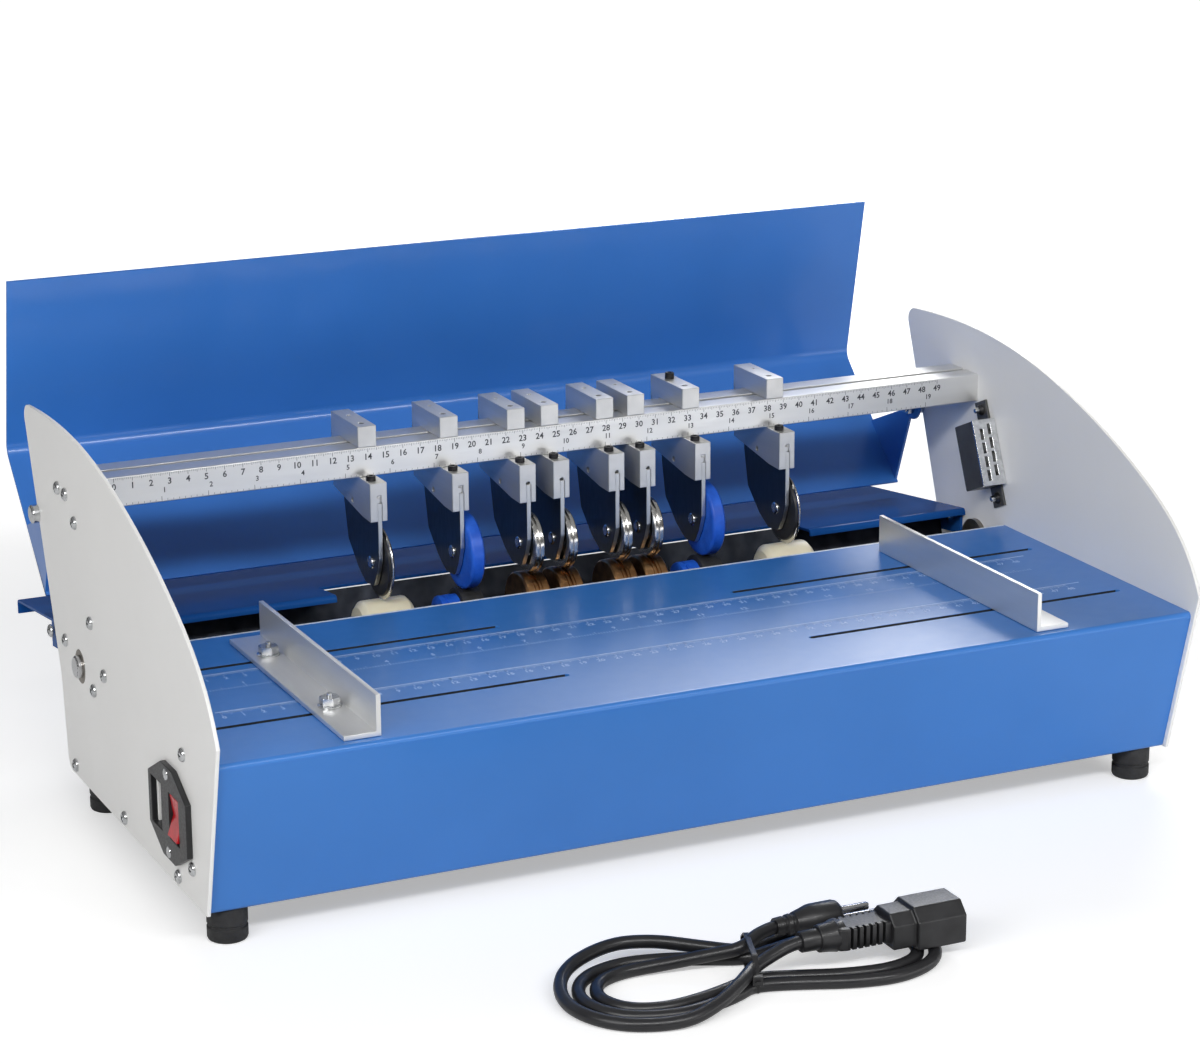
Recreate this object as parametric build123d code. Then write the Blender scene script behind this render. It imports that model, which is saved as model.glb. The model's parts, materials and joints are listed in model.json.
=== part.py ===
from build123d import *
import math
import os

# Desktop paper creasing machine.
# Millimetres. While the pieces are made, x = 0 is the middle of the machine, y = 0 is the front
# face of the scale beam, y grows towards the back, and z = 0 is the bottom edge of the side
# panels. Every piece is moved to its final place, on the surface it stands on, when it is written.

# ---- the whole machine ----
inner_width = 539.0          # between the two side panels
panel_sheet = 2.0            # steel side panels
case_sheet = 1.5             # steel deck, pan, tray and cover
foot_height = 18.0
beam_face_y = 38.0           # from the middle of the machine's depth to the beam's front face
running_gap = 0.05           # round a shaft or pin that turns
free_gap = 0.3               # between pieces that move past each other
bend_radius = 2.5            # inside the folds of the sheets

# ---- side panels ----
panel_height = 190.0
panel_front_y = -225.0       # the furthest point forward
panel_toe_y = -201.0         # front end of the bottom edge
panel_heel_y = 28.0          # rear end of the bottom edge
panel_waist_y = 34.0         # where the rear edge starts to lean back
panel_waist_z = 50.0
panel_tip_y = 84.0           # the rear top corner
panel_tip_radius = 7.0
panel_heel_radius = 8.0
panel_waist_radius = 30.0

# ---- scale beam ----
beam_depth = 30.0
beam_height = 16.0
beam_bottom_z = 147.5
beam_slot_neck = 3.6
beam_slot_head = 8.0

# ---- deck, pan and tray ----
deck_z = 81.4                # the table that the paper lies on
deck_front_y = -219.6
deck_back_y = -30.9
deck_back_flange = 8.0
deck_slot_width = 3.4
deck_slot_length = 190.0
deck_slot_inset = 11.5       # outer end of each slot, from the side panel
front_slot_y = -169.0
rear_slot_y = -81.0
side_flange = 14.0           # the flanges that are screwed to the side panels
pan_flange = 12.0
pan_back_inset = 3.0         # from the panels' rear edges to the back wall of the case
tray_front_y = 10.0
tray_front_z = 80.5
tray_back_y = 125.0
tray_back_z = 66.0
tray_lip = 4.0
tray_back_lip = 8.0
tray_cut_left = -124.0       # the notch in the tray that clears the dies
tray_cut_right = 166.0
tray_cut_back_y = 38.0

# ---- cover ----
cover_pivot_y = 64.0
cover_pivot_z = 131.0
cover_top_y = 128.7          # far edge of the long leaf, cover open
cover_top_z = 244.0
cover_bend_y = 148.9
cover_bend_z = 144.9
cover_low_y = 82.0           # edge of the short leaf, cover open
cover_low_z = 79.0
cover_side_gap = 4.6         # between the cover's ears and the side panels
cover_ear_reach = 45.0       # along the short leaf
pivot_pin_radius = 3.0
pivot_head = 4.4

# ---- fences ----
fence_length = 165.0
fence_front_y = -213.0
fence_height = 20.8
fence_foot = 19.1
fence_sheet = 2.5
left_fence_x = -185.7        # face that the paper touches
right_fence_x = 177.9
fence_bolt_inset = 9.5       # from that face to the bolts
bolt_radius = 1.4

# ---- shafts and wheels ----
shaft_y = -3.0               # the two rows of wheels are one above the other
shaft_z = 65.5
shaft_radius = 6.0
axle_z = 100.5
axle_radius = 3.0
thin_wheel_radius = 21.0
thin_wheel_width = 3.4
feed_wheel_width = 8.0
creasing_radius = 18.0
creasing_width = 5.4
crease_ridge = 1.2           # how far the creasing ridge stands proud
crease_ridge_width = 1.0
nip_gap = 0.3                # between a wheel and the roller under it
axle_overhang = 3.0          # of an axle, past its wheel
bearing_wall = 3.0           # round the lower shaft, in the panel's hole
ivory_length = 30.0
ivory_offset = 6.0           # from the carrier's middle to the roller's middle

# ---- carriers ----
# Centre of each carrier along the beam, from the left.
carrier_x = [-108.2, -61.2, -21.9, -1.9, 31.2, 50.1, 84.0, 136.7]
tool_kind = ["perforating", "feed"] + ["creasing"] * 4 + ["feed", "perforating"]
clamp_width = 10.5
clamp_height = 11.4
clamp_leg = 10.5             # the leg behind the beam
jaw_width = 9.6
jaw_front = 15.0             # how far the lower jaw stands in front of the beam
jaw_height = 21.3
arm_sheet = 2.5
arm_slot_depth = 10.0
arm_offset = 0.7             # from the middle of the jaw to the middle of the arm
wheel_side_gap = 0.5         # washer space between an arm and its wheel

# ---- drive ----
motor_y = -95.0
motor_z = 36.0
motor_radius = 25.0
motor_length = 75.0
gearbox_length = 30.0
pulley_width = 9.0
pulley_panel_gap = 7.0       # between the left panel and the pulleys
motor_pulley_radius = 9.0
shaft_pulley_radius = 12.0
belt_thickness = 1.5
belt_width = 6.0

# ---- inlet and switch, on the left panel ----
inlet_y = -154.5
inlet_z = 37.0
inlet_width = 58.0
inlet_height = 48.0
inlet_side = 27.0            # height of its two upright edges
inlet_plate = 3.0
inlet_body_width = 47.0
inlet_body_height = 27.0
inlet_depth = 28.0
socket_y = 17.0              # from the middle of the plate to the middle of the socket
rocker_y = -10.0
rocker_width = 14.0
rocker_height = 21.0
rocker_tip = 5.0             # degrees that the rocker lies over at rest
rocker_sink = 7.0            # from the plate's face back to the rocker's pin

# ---- catches, feet, screws ----
catch_y = -16.9
catch_z = 120.0
catch_length = 38.0
catch_depth = 20.5
catch_width = 15.0
catch_lean = 23.0            # degrees that the catch leans forward
catch_screw_reach = 26.0
foot_radius = 10.0
foot_x = 257.0
foot_front_y = -187.0
foot_back_y = 6.0
screw_radius = 1.75
screw_head_radius = 3.6
screw_head = 2.2
tie_rod_y = -28.0
tie_rod_z = 60.0
tie_rod_radius = 4.0

# ---- power lead, tied in a hank on the table in front ----
lead_diameter = 6.5
left_fold = (-108.0, -336.0)     # middle of the wide folds
left_fold_radius = 42.0
right_fold = (8.0, -340.0)       # middle of the small folds
right_fold_radius = 36.0
tie_back = (-46.0, -312.0)       # the tie draws the turns together between these two
tie_front = (-60.0, -358.0)
hank_low = lead_diameter + 0.3   # one turn high, where the connector and the plug lie on it
hank_high = 14.0                 # two turns high
connector_start_x = -32.0        # where the lead goes into the connector and the plug
connector_y = -346.0
connector_length = 82.0
connector_width = 27.0
connector_height = 20.0
relief_length = 44.0             # the thin sleeve and the ribs between the lead and the head
sleeve_radius = 5.0
head_neck_radius = 8.0
plug_y = -321.0
plug_length = 34.0
plug_radius = 8.0
plug_pin_length = 19.0

half_width = inner_width / 2
panel_outer_x = half_width + panel_sheet
beam_top_z = beam_bottom_z + beam_height
deck_under_z = deck_z - case_sheet
deck_toe_y = panel_toe_y + 2.6           # bottom edge of the case's front
floor_z = -foot_height
ivory_radius = axle_z - thin_wheel_radius - nip_gap - shaft_z
die_radius = axle_z - creasing_radius - nip_gap - shaft_z
bearing_radius = shaft_radius + bearing_wall

os.makedirs("parts", exist_ok=True)


# ---- small helpers ----
def block(x0, x1, y0, y1, z0, z1):
    return Pos((x0 + x1) / 2, (y0 + y1) / 2, (z0 + z1) / 2) * Box(x1 - x0, y1 - y0, z1 - z0)


def bar_x(x0, x1, y, z, radius):
    return extrude(Plane.YZ.offset(x0) * Pos(y, z) * Circle(radius), x1 - x0)


def bar_y(x, y0, y1, z, radius):
    return extrude(Plane.XZ.offset(-y1) * Pos(x, z) * Circle(radius), y1 - y0)


def bar_z(x, y, z0, z1, radius):
    return extrude(Plane.XY.offset(z0) * Pos(x, y) * Circle(radius), z1 - z0)


def across(section, x0, x1):
    """A flat section drawn in y and z, carried along x."""
    return extrude(Plane.YZ.offset(x0) * section, x1 - x0)


def outline(*points):
    return make_face(Polyline(*points, close=True))


def folded_sheet(points, x0, x1, side):
    """Sheet metal folded along the line through the points, its thickness on one side."""
    fold = FilletPolyline(*points, radius=bend_radius)
    return across(make_face(offset(fold, case_sheet, side=side)), x0, x1)


def write(name, *solids):
    whole = Compound(children=[solid for piece in solids for solid in piece.solids()])
    placed = Pos(0, beam_face_y, foot_height) * whole
    export_step(placed, f"parts/{name}.step")


# ---- screws that hold everything to the side panels ----
# Each pair is a place in y and z; the same screws are on both panels.
beam_screws = [(8, beam_bottom_z + beam_height / 2), (22, beam_bottom_z + beam_height / 2)]
deck_screws = [(-48, deck_under_z - 6), (-174, deck_under_z - 7), (-183, 18)]
tray_screws = [(21, 73), (49, 70)]
pan_screws = [(13, 6), (-73, 6), (-160, 6)]
rod_screw = [(tie_rod_y, tie_rod_z)]
lean = math.radians(catch_lean)
catch_screws = [
    (catch_y + end * catch_screw_reach * math.sin(lean), catch_z + end * catch_screw_reach * math.cos(lean))
    for end in (1, -1)
]
panel_screws = beam_screws + deck_screws + tray_screws + pan_screws + rod_screw + catch_screws
screw_reach = 6.0            # behind the inner face of the panel


def screw_shank(side, y, z):
    inner, outer = sorted((side * (half_width - screw_reach), side * panel_outer_x))
    return bar_x(inner, outer, y, z, screw_radius)


def panel_screw(side, y, z):
    inner, outer = sorted((side * panel_outer_x, side * (panel_outer_x + screw_head)))
    head = bar_x(inner, outer, y, z, screw_head_radius)
    rim = head.edges().filter_by(GeomType.CIRCLE).sort_by(Axis.X)[-1 if side > 0 else 0]
    head = fillet(rim, screw_head * 0.6)
    socket_start, socket_end = sorted((side * (panel_outer_x + 0.8), side * (panel_outer_x + screw_head + 1)))
    socket = across(Pos(y, z) * RegularPolygon(1.2, 6), socket_start, socket_end)
    return head - socket + screw_shank(side, y, z)


screw_bores = [screw_shank(side, y, z) for side in (-1, 1) for y, z in panel_screws]
write("panel_screws", *[panel_screw(side, y, z) for side in (-1, 1) for y, z in panel_screws])


# ---- side panels ----
def inlet_body(extra=0.0):
    return outline(
        (inlet_y - inlet_body_width / 2 - extra, inlet_z - inlet_body_height / 2 - extra),
        (inlet_y + inlet_body_width / 2 + extra, inlet_z - inlet_body_height / 2 - extra),
        (inlet_y + inlet_body_width / 2 + extra, inlet_z + inlet_body_height / 2 + extra),
        (inlet_y - inlet_body_width / 2 - extra, inlet_z + inlet_body_height / 2 + extra),
    )


def panel_blank(x0):
    heel = (panel_heel_y, 0)
    waist = (panel_waist_y, panel_waist_z)
    tip = (panel_tip_y, panel_height - 3)
    nose = (panel_front_y, 0.48 * panel_height)
    toe = (panel_toe_y, 0)
    top_curve = Spline(
        tip,
        (panel_tip_y - 60, panel_height),
        (-33, panel_height - 4),
        (-101, panel_height - 20),
        (-166, panel_height - 46),
        (-208, panel_height - 74),
        nose,
    )
    edge = [Line(toe, heel), Line(heel, waist), Line(waist, tip), top_curve, Line(nose, toe)]
    blank = across(make_face(edge), x0, x0 + panel_sheet)
    rounds = ((heel, panel_heel_radius), (tip, panel_tip_radius), (waist, panel_waist_radius))
    for (corner_y, corner_z), radius in rounds:
        corners = blank.edges().filter_by(Axis.X)
        nearest = corners.sort_by(lambda e: math.hypot(e.center().Y - corner_y, e.center().Z - corner_z))[0]
        blank = fillet(nearest, radius)
    return blank


def side_panel(side):
    x0 = half_width if side > 0 else -panel_outer_x
    panel = panel_blank(x0) - screw_bores
    panel -= bar_x(x0 - 1, x0 + panel_sheet + 1, shaft_y, shaft_z, bearing_radius)
    panel -= bar_x(x0 - 1, x0 + panel_sheet + 1, cover_pivot_y, cover_pivot_z, pivot_pin_radius)
    if side < 0:
        panel -= across(inlet_body(0.1), x0 - 1, x0 + panel_sheet + 1)
    return panel


write("left_side_panel", side_panel(-1))
write("right_side_panel", side_panel(1))


# ---- scale beam: an aluminium extrusion with a T-slot along its top and two hollow chambers ----
def scale_beam():
    bar = block(-half_width, half_width, 0, beam_depth, beam_bottom_z, beam_top_z)
    bar = fillet(bar.edges().filter_by(Axis.X), 0.6)
    middle = beam_depth / 2
    for width, bottom, top in ((beam_slot_neck, -3, 1), (beam_slot_head, -5.4, -2)):
        y0, y1 = middle - width / 2, middle + width / 2
        bar -= block(-half_width, half_width, y0, y1, beam_top_z + bottom, beam_top_z + top)
    return bar - screw_bores


write("scale_beam", scale_beam())


# ---- deck: one sheet folded into the front of the case and the table ----
def deck_slot(side, y):
    outer = side * (half_width - deck_slot_inset)
    inner = outer - side * deck_slot_length
    x0, x1 = sorted((outer, inner))
    shape = Pos((x0 + x1) / 2, y) * SlotOverall(x1 - x0, deck_slot_width)
    return extrude(Plane.XY.offset(deck_under_z - 1) * shape, case_sheet + 2)


def base_deck():
    table = folded_sheet(
        [
            (deck_toe_y + 14, 0),
            (deck_toe_y, 0),
            (deck_front_y, deck_z),
            (deck_back_y, deck_z),
            (deck_back_y, deck_z - deck_back_flange),
        ],
        -half_width, half_width, Side.RIGHT,
    )
    flange_shape = outline(
        (deck_back_y - case_sheet, deck_under_z + 0.2),
        (deck_front_y + 3, deck_under_z + 0.2),
        (panel_toe_y + 5, pan_flange + 0.6),
        (panel_toe_y + 28, pan_flange + 0.6),
        (panel_toe_y + 28, deck_under_z - 30),
        (deck_front_y + 60, deck_under_z - side_flange),
        (deck_back_y - case_sheet, deck_under_z - side_flange),
    )
    left_flange = across(flange_shape, -half_width, -half_width + case_sheet)
    right_flange = across(flange_shape, half_width - case_sheet, half_width)
    deck = table + left_flange + right_flange
    deck -= [deck_slot(side, y) for side in (-1, 1) for y in (front_slot_y, rear_slot_y)]
    deck -= screw_bores
    return deck - across(inlet_body(1.0), -half_width - 1, -half_width + case_sheet + 1)


write("base_deck", base_deck())


# ---- exit tray ----
tray_slope = (tray_front_z - tray_back_z) / (tray_back_y - tray_front_y)


def tray_under_z(y):
    return tray_front_z - tray_slope * (y - tray_front_y) - case_sheet - 0.1


def exit_tray():
    tray = folded_sheet(
        [
            (tray_front_y, tray_front_z - tray_lip),
            (tray_front_y, tray_front_z),
            (tray_back_y, tray_back_z),
            (tray_back_y, tray_back_z - tray_back_lip),
        ],
        -half_width, half_width, Side.RIGHT,
    )
    notch = (tray_cut_left, tray_cut_right, tray_front_y - 1, tray_cut_back_y)
    tray -= block(*notch, tray_back_z, tray_front_z + 1)
    flange_shape = outline(
        (tray_front_y + 3, tray_under_z(tray_front_y + 3) + 0.3),
        (tray_front_y + 3, tray_under_z(tray_front_y + 3) - side_flange),
        (panel_waist_y + 22, tray_under_z(panel_waist_y + 22) - side_flange),
        (panel_waist_y + 22, tray_under_z(panel_waist_y + 22) + 0.3),
    )
    left_flange = across(flange_shape, -half_width, -half_width + case_sheet)
    right_flange = across(flange_shape, half_width - case_sheet, half_width)
    return tray + left_flange + right_flange - screw_bores


write("exit_tray", exit_tray())


# ---- bottom pan: the floor of the case, folded up into its back wall ----
back_lean = (panel_tip_y - panel_waist_y) / (panel_height - panel_waist_z)


def flange_room(side):
    """Where the tray's side flanges pass the back wall."""
    x0, x1 = sorted((side * (half_width + 1), side * (half_width - case_sheet - free_gap)))
    return block(x0, x1, 0, panel_tip_y, panel_waist_z, tray_front_z)


def bottom_pan():
    front = deck_toe_y + 15
    heel = panel_heel_y - pan_back_inset
    waist = panel_waist_y - pan_back_inset
    top_z = tray_under_z(tray_cut_back_y + 6) - free_gap
    top = waist + (top_z - panel_waist_z) * back_lean
    pan = folded_sheet(
        [(front, 0), (heel, 0), (waist, panel_waist_z), (top, top_z)],
        -half_width, half_width, Side.LEFT,
    )
    pan -= [flange_room(side) for side in (-1, 1)]
    left = block(-half_width, -half_width + case_sheet, front, heel - 8, 0.5, pan_flange)
    right = block(half_width - case_sheet, half_width, front, heel - 8, 0.5, pan_flange)
    return pan + left + right - screw_bores


write("bottom_pan", bottom_pan())


# ---- cover: two leaves at an angle and an ear at each end, which the pivots go through ----
cover_half = half_width - cover_side_gap


def cover_ear(x0):
    low_to_bend = math.hypot(cover_bend_y - cover_low_y, cover_bend_z - cover_low_z)
    share = cover_ear_reach / low_to_bend
    root_y = cover_low_y + share * (cover_bend_y - cover_low_y)
    root_z = cover_low_z + share * (cover_bend_z - cover_low_z)
    triangle = outline((cover_low_y + 1, cover_low_z + 1), (root_y, root_z), (cover_pivot_y, cover_pivot_z))
    ear = across(triangle, x0, x0 + case_sheet)
    ear += bar_x(x0, x0 + case_sheet, cover_pivot_y, cover_pivot_z, pivot_pin_radius + 5)
    bore_radius = pivot_pin_radius + running_gap
    return ear - bar_x(x0 - 1, x0 + case_sheet + 1, cover_pivot_y, cover_pivot_z, bore_radius)


def cover():
    leaves = folded_sheet(
        [(cover_top_y, cover_top_z), (cover_bend_y, cover_bend_z), (cover_low_y, cover_low_z)],
        -cover_half, cover_half, Side.RIGHT,
    )
    return leaves + cover_ear(-cover_half) + cover_ear(cover_half - case_sheet)


write("cover", cover())


def cover_pivot(side):
    """A shoulder screw: button head outside, spacer between panel and ear, lock nut inside."""
    ear_outer = cover_half
    ear_inner = cover_half - case_sheet

    def stretch(a, b, radius):
        x0, x1 = sorted((side * a, side * b))
        return bar_x(x0, x1, cover_pivot_y, cover_pivot_z, radius)

    head = stretch(panel_outer_x, panel_outer_x + pivot_head, 5.0)
    head = fillet(head.edges().filter_by(GeomType.CIRCLE).sort_by(Axis.X)[-1 if side > 0 else 0], 1.6)
    shank = stretch(panel_outer_x, ear_inner - 6, pivot_pin_radius)
    spacer = stretch(half_width, ear_outer + free_gap, 5.0)
    x0, x1 = sorted((side * (ear_inner - free_gap), side * (ear_inner - free_gap - 4)))
    nut = across(Pos(cover_pivot_y, cover_pivot_z) * RegularPolygon(4.6, 6), x0, x1)
    return head + shank + spacer + nut


write("cover_pivots", cover_pivot(-1), cover_pivot(1))


# ---- lower shaft, its bearings and the tie rod ----
def bearing(side):
    """A flanged bush pressed into the panel from inside."""
    x0, x1 = sorted((side * panel_outer_x, side * half_width))
    f0, f1 = sorted((side * half_width, side * (half_width - 3)))
    bush = bar_x(x0, x1, shaft_y, shaft_z, bearing_radius)
    bush += bar_x(f0, f1, shaft_y, shaft_z, bearing_radius + 3)
    return bush - bar_x(x0 - 5, x1 + 5, shaft_y, shaft_z, shaft_radius + running_gap)


write("shaft_bearings", bearing(-1), bearing(1))


def lower_shaft():
    end = panel_outer_x + 3.0
    shaft = bar_x(-end, end, shaft_y, shaft_z, shaft_radius)
    return chamfer(shaft.edges().filter_by(GeomType.CIRCLE), 0.8)


write("lower_shaft", lower_shaft())
write("tie_rod", bar_x(-half_width, half_width, tie_rod_y, tie_rod_z, tie_rod_radius) - screw_bores)


# ---- carriers: a C-shaped clamp on the beam, with a jaw below that holds the arm ----
jaw_top_z = beam_bottom_z - 0.1
jaw_bottom_z = jaw_top_z - jaw_height


def carrier(x):
    back_y = beam_depth + 0.1 + clamp_leg
    x0, x1 = x - clamp_width / 2, x + clamp_width / 2
    seat_z = beam_top_z + 0.1
    top = block(x0, x1, 0, back_y, seat_z, seat_z + clamp_height)
    leg = block(x0, x1, beam_depth + 0.1, back_y, jaw_top_z - 6, beam_top_z + 1)
    jaw_shape = outline(
        (-jaw_front, jaw_bottom_z),
        (back_y - 8, jaw_bottom_z),
        (back_y, jaw_bottom_z + 8),
        (back_y, jaw_top_z),
        (-jaw_front, jaw_top_z),
    )
    jaw = across(jaw_shape, x - jaw_width / 2, x + jaw_width / 2)
    top = fillet(top.edges().filter_by(Axis.Y) + top.edges().filter_by(Axis.Z), 0.6)
    slot = block(
        x + arm_offset - arm_sheet / 2, x + arm_offset + arm_sheet / 2,
        -jaw_front - 1, back_y + 1, jaw_bottom_z - 1, jaw_bottom_z + arm_slot_depth,
    )
    body = top + leg + jaw - slot
    body -= bar_z(x, 8, beam_top_z - 1, beam_top_z + clamp_height + 1, 1.6)
    body -= bar_z(x - 1.5, 7 - jaw_front, jaw_top_z - 8, jaw_top_z + 1, 1.5)
    return body - bar_x(x - clamp_width, x + clamp_width, 12, jaw_bottom_z + 6, 1.5)


def clamp_screw(x):
    """The black cap screw that stands on the front of the jaw and locks the arm."""
    head = bar_z(x - 1.5, 7 - jaw_front, jaw_top_z, jaw_top_z + 2.6, 2.6)
    shank = bar_z(x - 1.5, 7 - jaw_front, jaw_top_z - 8, jaw_top_z, 1.5)
    return head + shank


def wheel_arm(x):
    """A flat steel arm that narrows to the axle; the axle is riveted into it."""
    left = x + arm_offset - arm_sheet / 2
    top_z = jaw_bottom_z + arm_slot_depth
    shape = outline(
        (-jaw_front + 0.5, top_z),
        (-jaw_front + 0.5, axle_z + 4.5),
        (-jaw_front + 4.0, axle_z - 4.5),
        (shaft_y - 3, axle_z - 12.5),
        (shaft_y + 9, axle_z - 13.5),
        (shaft_y + 20, axle_z - 7.5),
        (31, axle_z + 5),
        (36, jaw_bottom_z),
        (36, top_z),
    )
    plate = across(shape, left, left + arm_sheet)
    tips = [e for e in plate.edges().filter_by(Axis.X) if e.center().Z < axle_z + 6]
    plate = fillet(tips, 3.5)
    return plate, left + arm_sheet


def arm_with_axle(x, wheel_width):
    plate, face = wheel_arm(x)
    wheel_end = face + wheel_side_gap + wheel_width
    axle = bar_x(face, wheel_end + axle_overhang, shaft_y, axle_z, axle_radius)
    shoulder = bar_x(face, face + wheel_side_gap - 0.1, shaft_y, axle_z, axle_radius + 2)
    cap = bar_x(wheel_end + free_gap, wheel_end + axle_overhang, shaft_y, axle_z, axle_radius + 2)
    rivet = bar_x(face - arm_sheet - 1.2, face - arm_sheet, shaft_y, axle_z, 3.6)
    return plate + axle + shoulder + cap + rivet


def wheel_bore(x0, x1):
    return bar_x(x0 - 1, x1 + 1, shaft_y, axle_z, axle_radius + running_gap)


def perforating_wheel(x0):
    """A thin toothed steel blade held between two black flanges."""
    x1 = x0 + thin_wheel_width
    flanges = bar_x(x0, x1, shaft_y, axle_z, thin_wheel_radius - 2.2)
    middle = (x0 + x1) / 2
    blade = bar_x(middle - 0.5, middle + 0.5, shaft_y, axle_z, thin_wheel_radius)
    wheel = flanges + blade
    return wheel - wheel_bore(x0, x1)


def feed_wheel(x0):
    """A blue rubber tyre moulded on a hub."""
    x1 = x0 + feed_wheel_width
    tyre = bar_x(x0, x1, shaft_y, axle_z, thin_wheel_radius)
    tyre = fillet(tyre.edges().filter_by(GeomType.CIRCLE), 1.2)
    recess = bar_x(x1 - 2, x1 + 1, shaft_y, axle_z, thin_wheel_radius - 6)
    recess -= bar_x(x1 - 3, x1 + 2, shaft_y, axle_z, axle_radius + 4)
    return tyre - recess - wheel_bore(x0, x1)


def creasing_wheel(x0):
    """A ground steel wheel with one raised creasing ridge round its middle."""
    x1 = x0 + creasing_width
    drum = bar_x(x0, x1, shaft_y, axle_z, creasing_radius - crease_ridge)
    drum = chamfer(drum.edges().filter_by(GeomType.CIRCLE), 0.6)
    middle = (x0 + x1) / 2
    half_ridge = crease_ridge_width / 2
    ridge = bar_x(middle - half_ridge, middle + half_ridge, shaft_y, axle_z, creasing_radius)
    return drum + ridge - wheel_bore(x0, x1)


# ---- lower rollers and dies: they slide on the lower shaft and are locked with a grub screw ----
def roller_bore(x0, x1):
    return bar_x(x0 - 1, x1 + 1, shaft_y, shaft_z, shaft_radius + running_gap)


def nylon_roller(x):
    x0, x1 = x + ivory_offset - ivory_length / 2, x + ivory_offset + ivory_length / 2
    roller = bar_x(x0, x1, shaft_y, shaft_z, ivory_radius)
    roller = fillet(roller.edges().filter_by(GeomType.CIRCLE), 1.5)
    return roller - roller_bore(x0, x1)


def feed_roller(x):
    """A rubber roller with a smaller hub on its left."""
    x0 = x + 1.0
    tyre = bar_x(x0, x0 + 13, shaft_y, shaft_z, ivory_radius)
    hub = bar_x(x0 - 11, x0, shaft_y, shaft_z, ivory_radius - 3)
    tyre = fillet(tyre.edges().filter_by(GeomType.CIRCLE), 1.0)
    return tyre + hub - roller_bore(x0 - 11, x0 + 13)


def creasing_die(x, ridge_x):
    """A brass die with a groove under the creasing ridge."""
    x0, x1 = ridge_x - 7, ridge_x + 7
    die = bar_x(x0, x1, shaft_y, shaft_z, die_radius + crease_ridge)
    die = chamfer(die.edges().filter_by(GeomType.CIRCLE), 0.6)
    groove_half = crease_ridge_width / 2 + free_gap
    ring = bar_x(ridge_x - groove_half, ridge_x + groove_half, shaft_y, shaft_z, die_radius + 5)
    ring -= bar_x(ridge_x - groove_half - 1, ridge_x + groove_half + 1, shaft_y, shaft_z, die_radius)
    return die - ring - roller_bore(x0, x1)


for number, (x, kind) in enumerate(zip(carrier_x, tool_kind), start=1):
    wheel_x = x + arm_offset + arm_sheet / 2 + wheel_side_gap
    write(f"carrier_{number}", carrier(x), clamp_screw(x))
    if kind == "perforating":
        write(f"wheel_arm_{number}", arm_with_axle(x, thin_wheel_width))
        write(f"perforating_wheel_{number}", perforating_wheel(wheel_x))
        write(f"nylon_roller_{number}", nylon_roller(x))
    elif kind == "feed":
        write(f"wheel_arm_{number}", arm_with_axle(x, feed_wheel_width))
        write(f"feed_wheel_{number}", feed_wheel(wheel_x))
        write(f"feed_roller_{number}", feed_roller(x))
    else:
        write(f"wheel_arm_{number}", arm_with_axle(x, creasing_width))
        write(f"creasing_wheel_{number}", creasing_wheel(wheel_x))
        write(f"creasing_die_{number}", creasing_die(x, wheel_x + creasing_width / 2))


# ---- fences: angle aluminium, bolted through the slots of the deck ----
def fence(face_x, side):
    """side is -1 where the foot goes left of the upright leaf and 1 where it goes right."""
    y0, y1 = fence_front_y, fence_front_y + fence_length
    bottom = deck_z + 0.2
    u0, u1 = sorted((face_x, face_x + side * fence_sheet))
    f0, f1 = sorted((face_x, face_x + side * fence_foot))
    upright = block(u0, u1, y0, y1, bottom, bottom + fence_height)
    foot = block(f0, f1, y0, y1, bottom, bottom + fence_sheet)
    angle = upright + foot
    angle = fillet(angle.edges().filter_by(Axis.Y), 0.4)
    bolt_x = face_x + side * fence_bolt_inset
    for y in (front_slot_y, rear_slot_y):
        angle -= bar_z(bolt_x, y, bottom - 1, bottom + fence_sheet + 1, bolt_radius)
    return angle


def fence_bolt(bolt_x, y):
    """A bolt up through the slot, with washers, a nut on the fence and its head under the deck."""
    seat = deck_z + 0.2 + fence_sheet
    shank = bar_z(bolt_x, y, deck_under_z - 4, seat + 7, bolt_radius)
    top_washer = bar_z(bolt_x, y, seat, seat + 1.0, 6.0)
    nut = extrude(Plane.XY.offset(seat + 1.0) * Pos(bolt_x, y) * RegularPolygon(5.2, 6), 4.0)
    low_washer = bar_z(bolt_x, y, deck_under_z - free_gap - 1.0, deck_under_z - free_gap, 5.0)
    head = bar_z(bolt_x, y, deck_under_z - 4, deck_under_z - free_gap - 1.0, 3.0)
    return shank + top_washer + nut + low_washer + head


for name, face_x, side in (("left", left_fence_x, -1), ("right", right_fence_x, 1)):
    write(f"{name}_fence", fence(face_x, side))
    bolt_x = face_x + side * fence_bolt_inset
    write(f"{name}_fence_bolts", *[fence_bolt(bolt_x, y) for y in (front_slot_y, rear_slot_y)])


# ---- drive: a geared motor in the case turns the lower shaft through a belt ----
pulley_x0 = -half_width + pulley_panel_gap
pulley_x1 = pulley_x0 + pulley_width
motor_face_x = pulley_x1 + 5.0
motor_shaft_radius = 3.0


def drive_motor():
    can_x = motor_face_x + gearbox_length
    gearbox = bar_x(motor_face_x, can_x, motor_y, motor_z, motor_radius)
    can = bar_x(can_x, can_x + motor_length, motor_y, motor_z, motor_radius - 3)
    can = fillet(can.edges().filter_by(GeomType.CIRCLE).sort_by(Axis.X)[-1], 3)
    bore_radius = motor_shaft_radius + running_gap
    return gearbox + can - bar_x(motor_face_x - 1, motor_face_x + 12, motor_y, motor_z, bore_radius)


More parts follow.
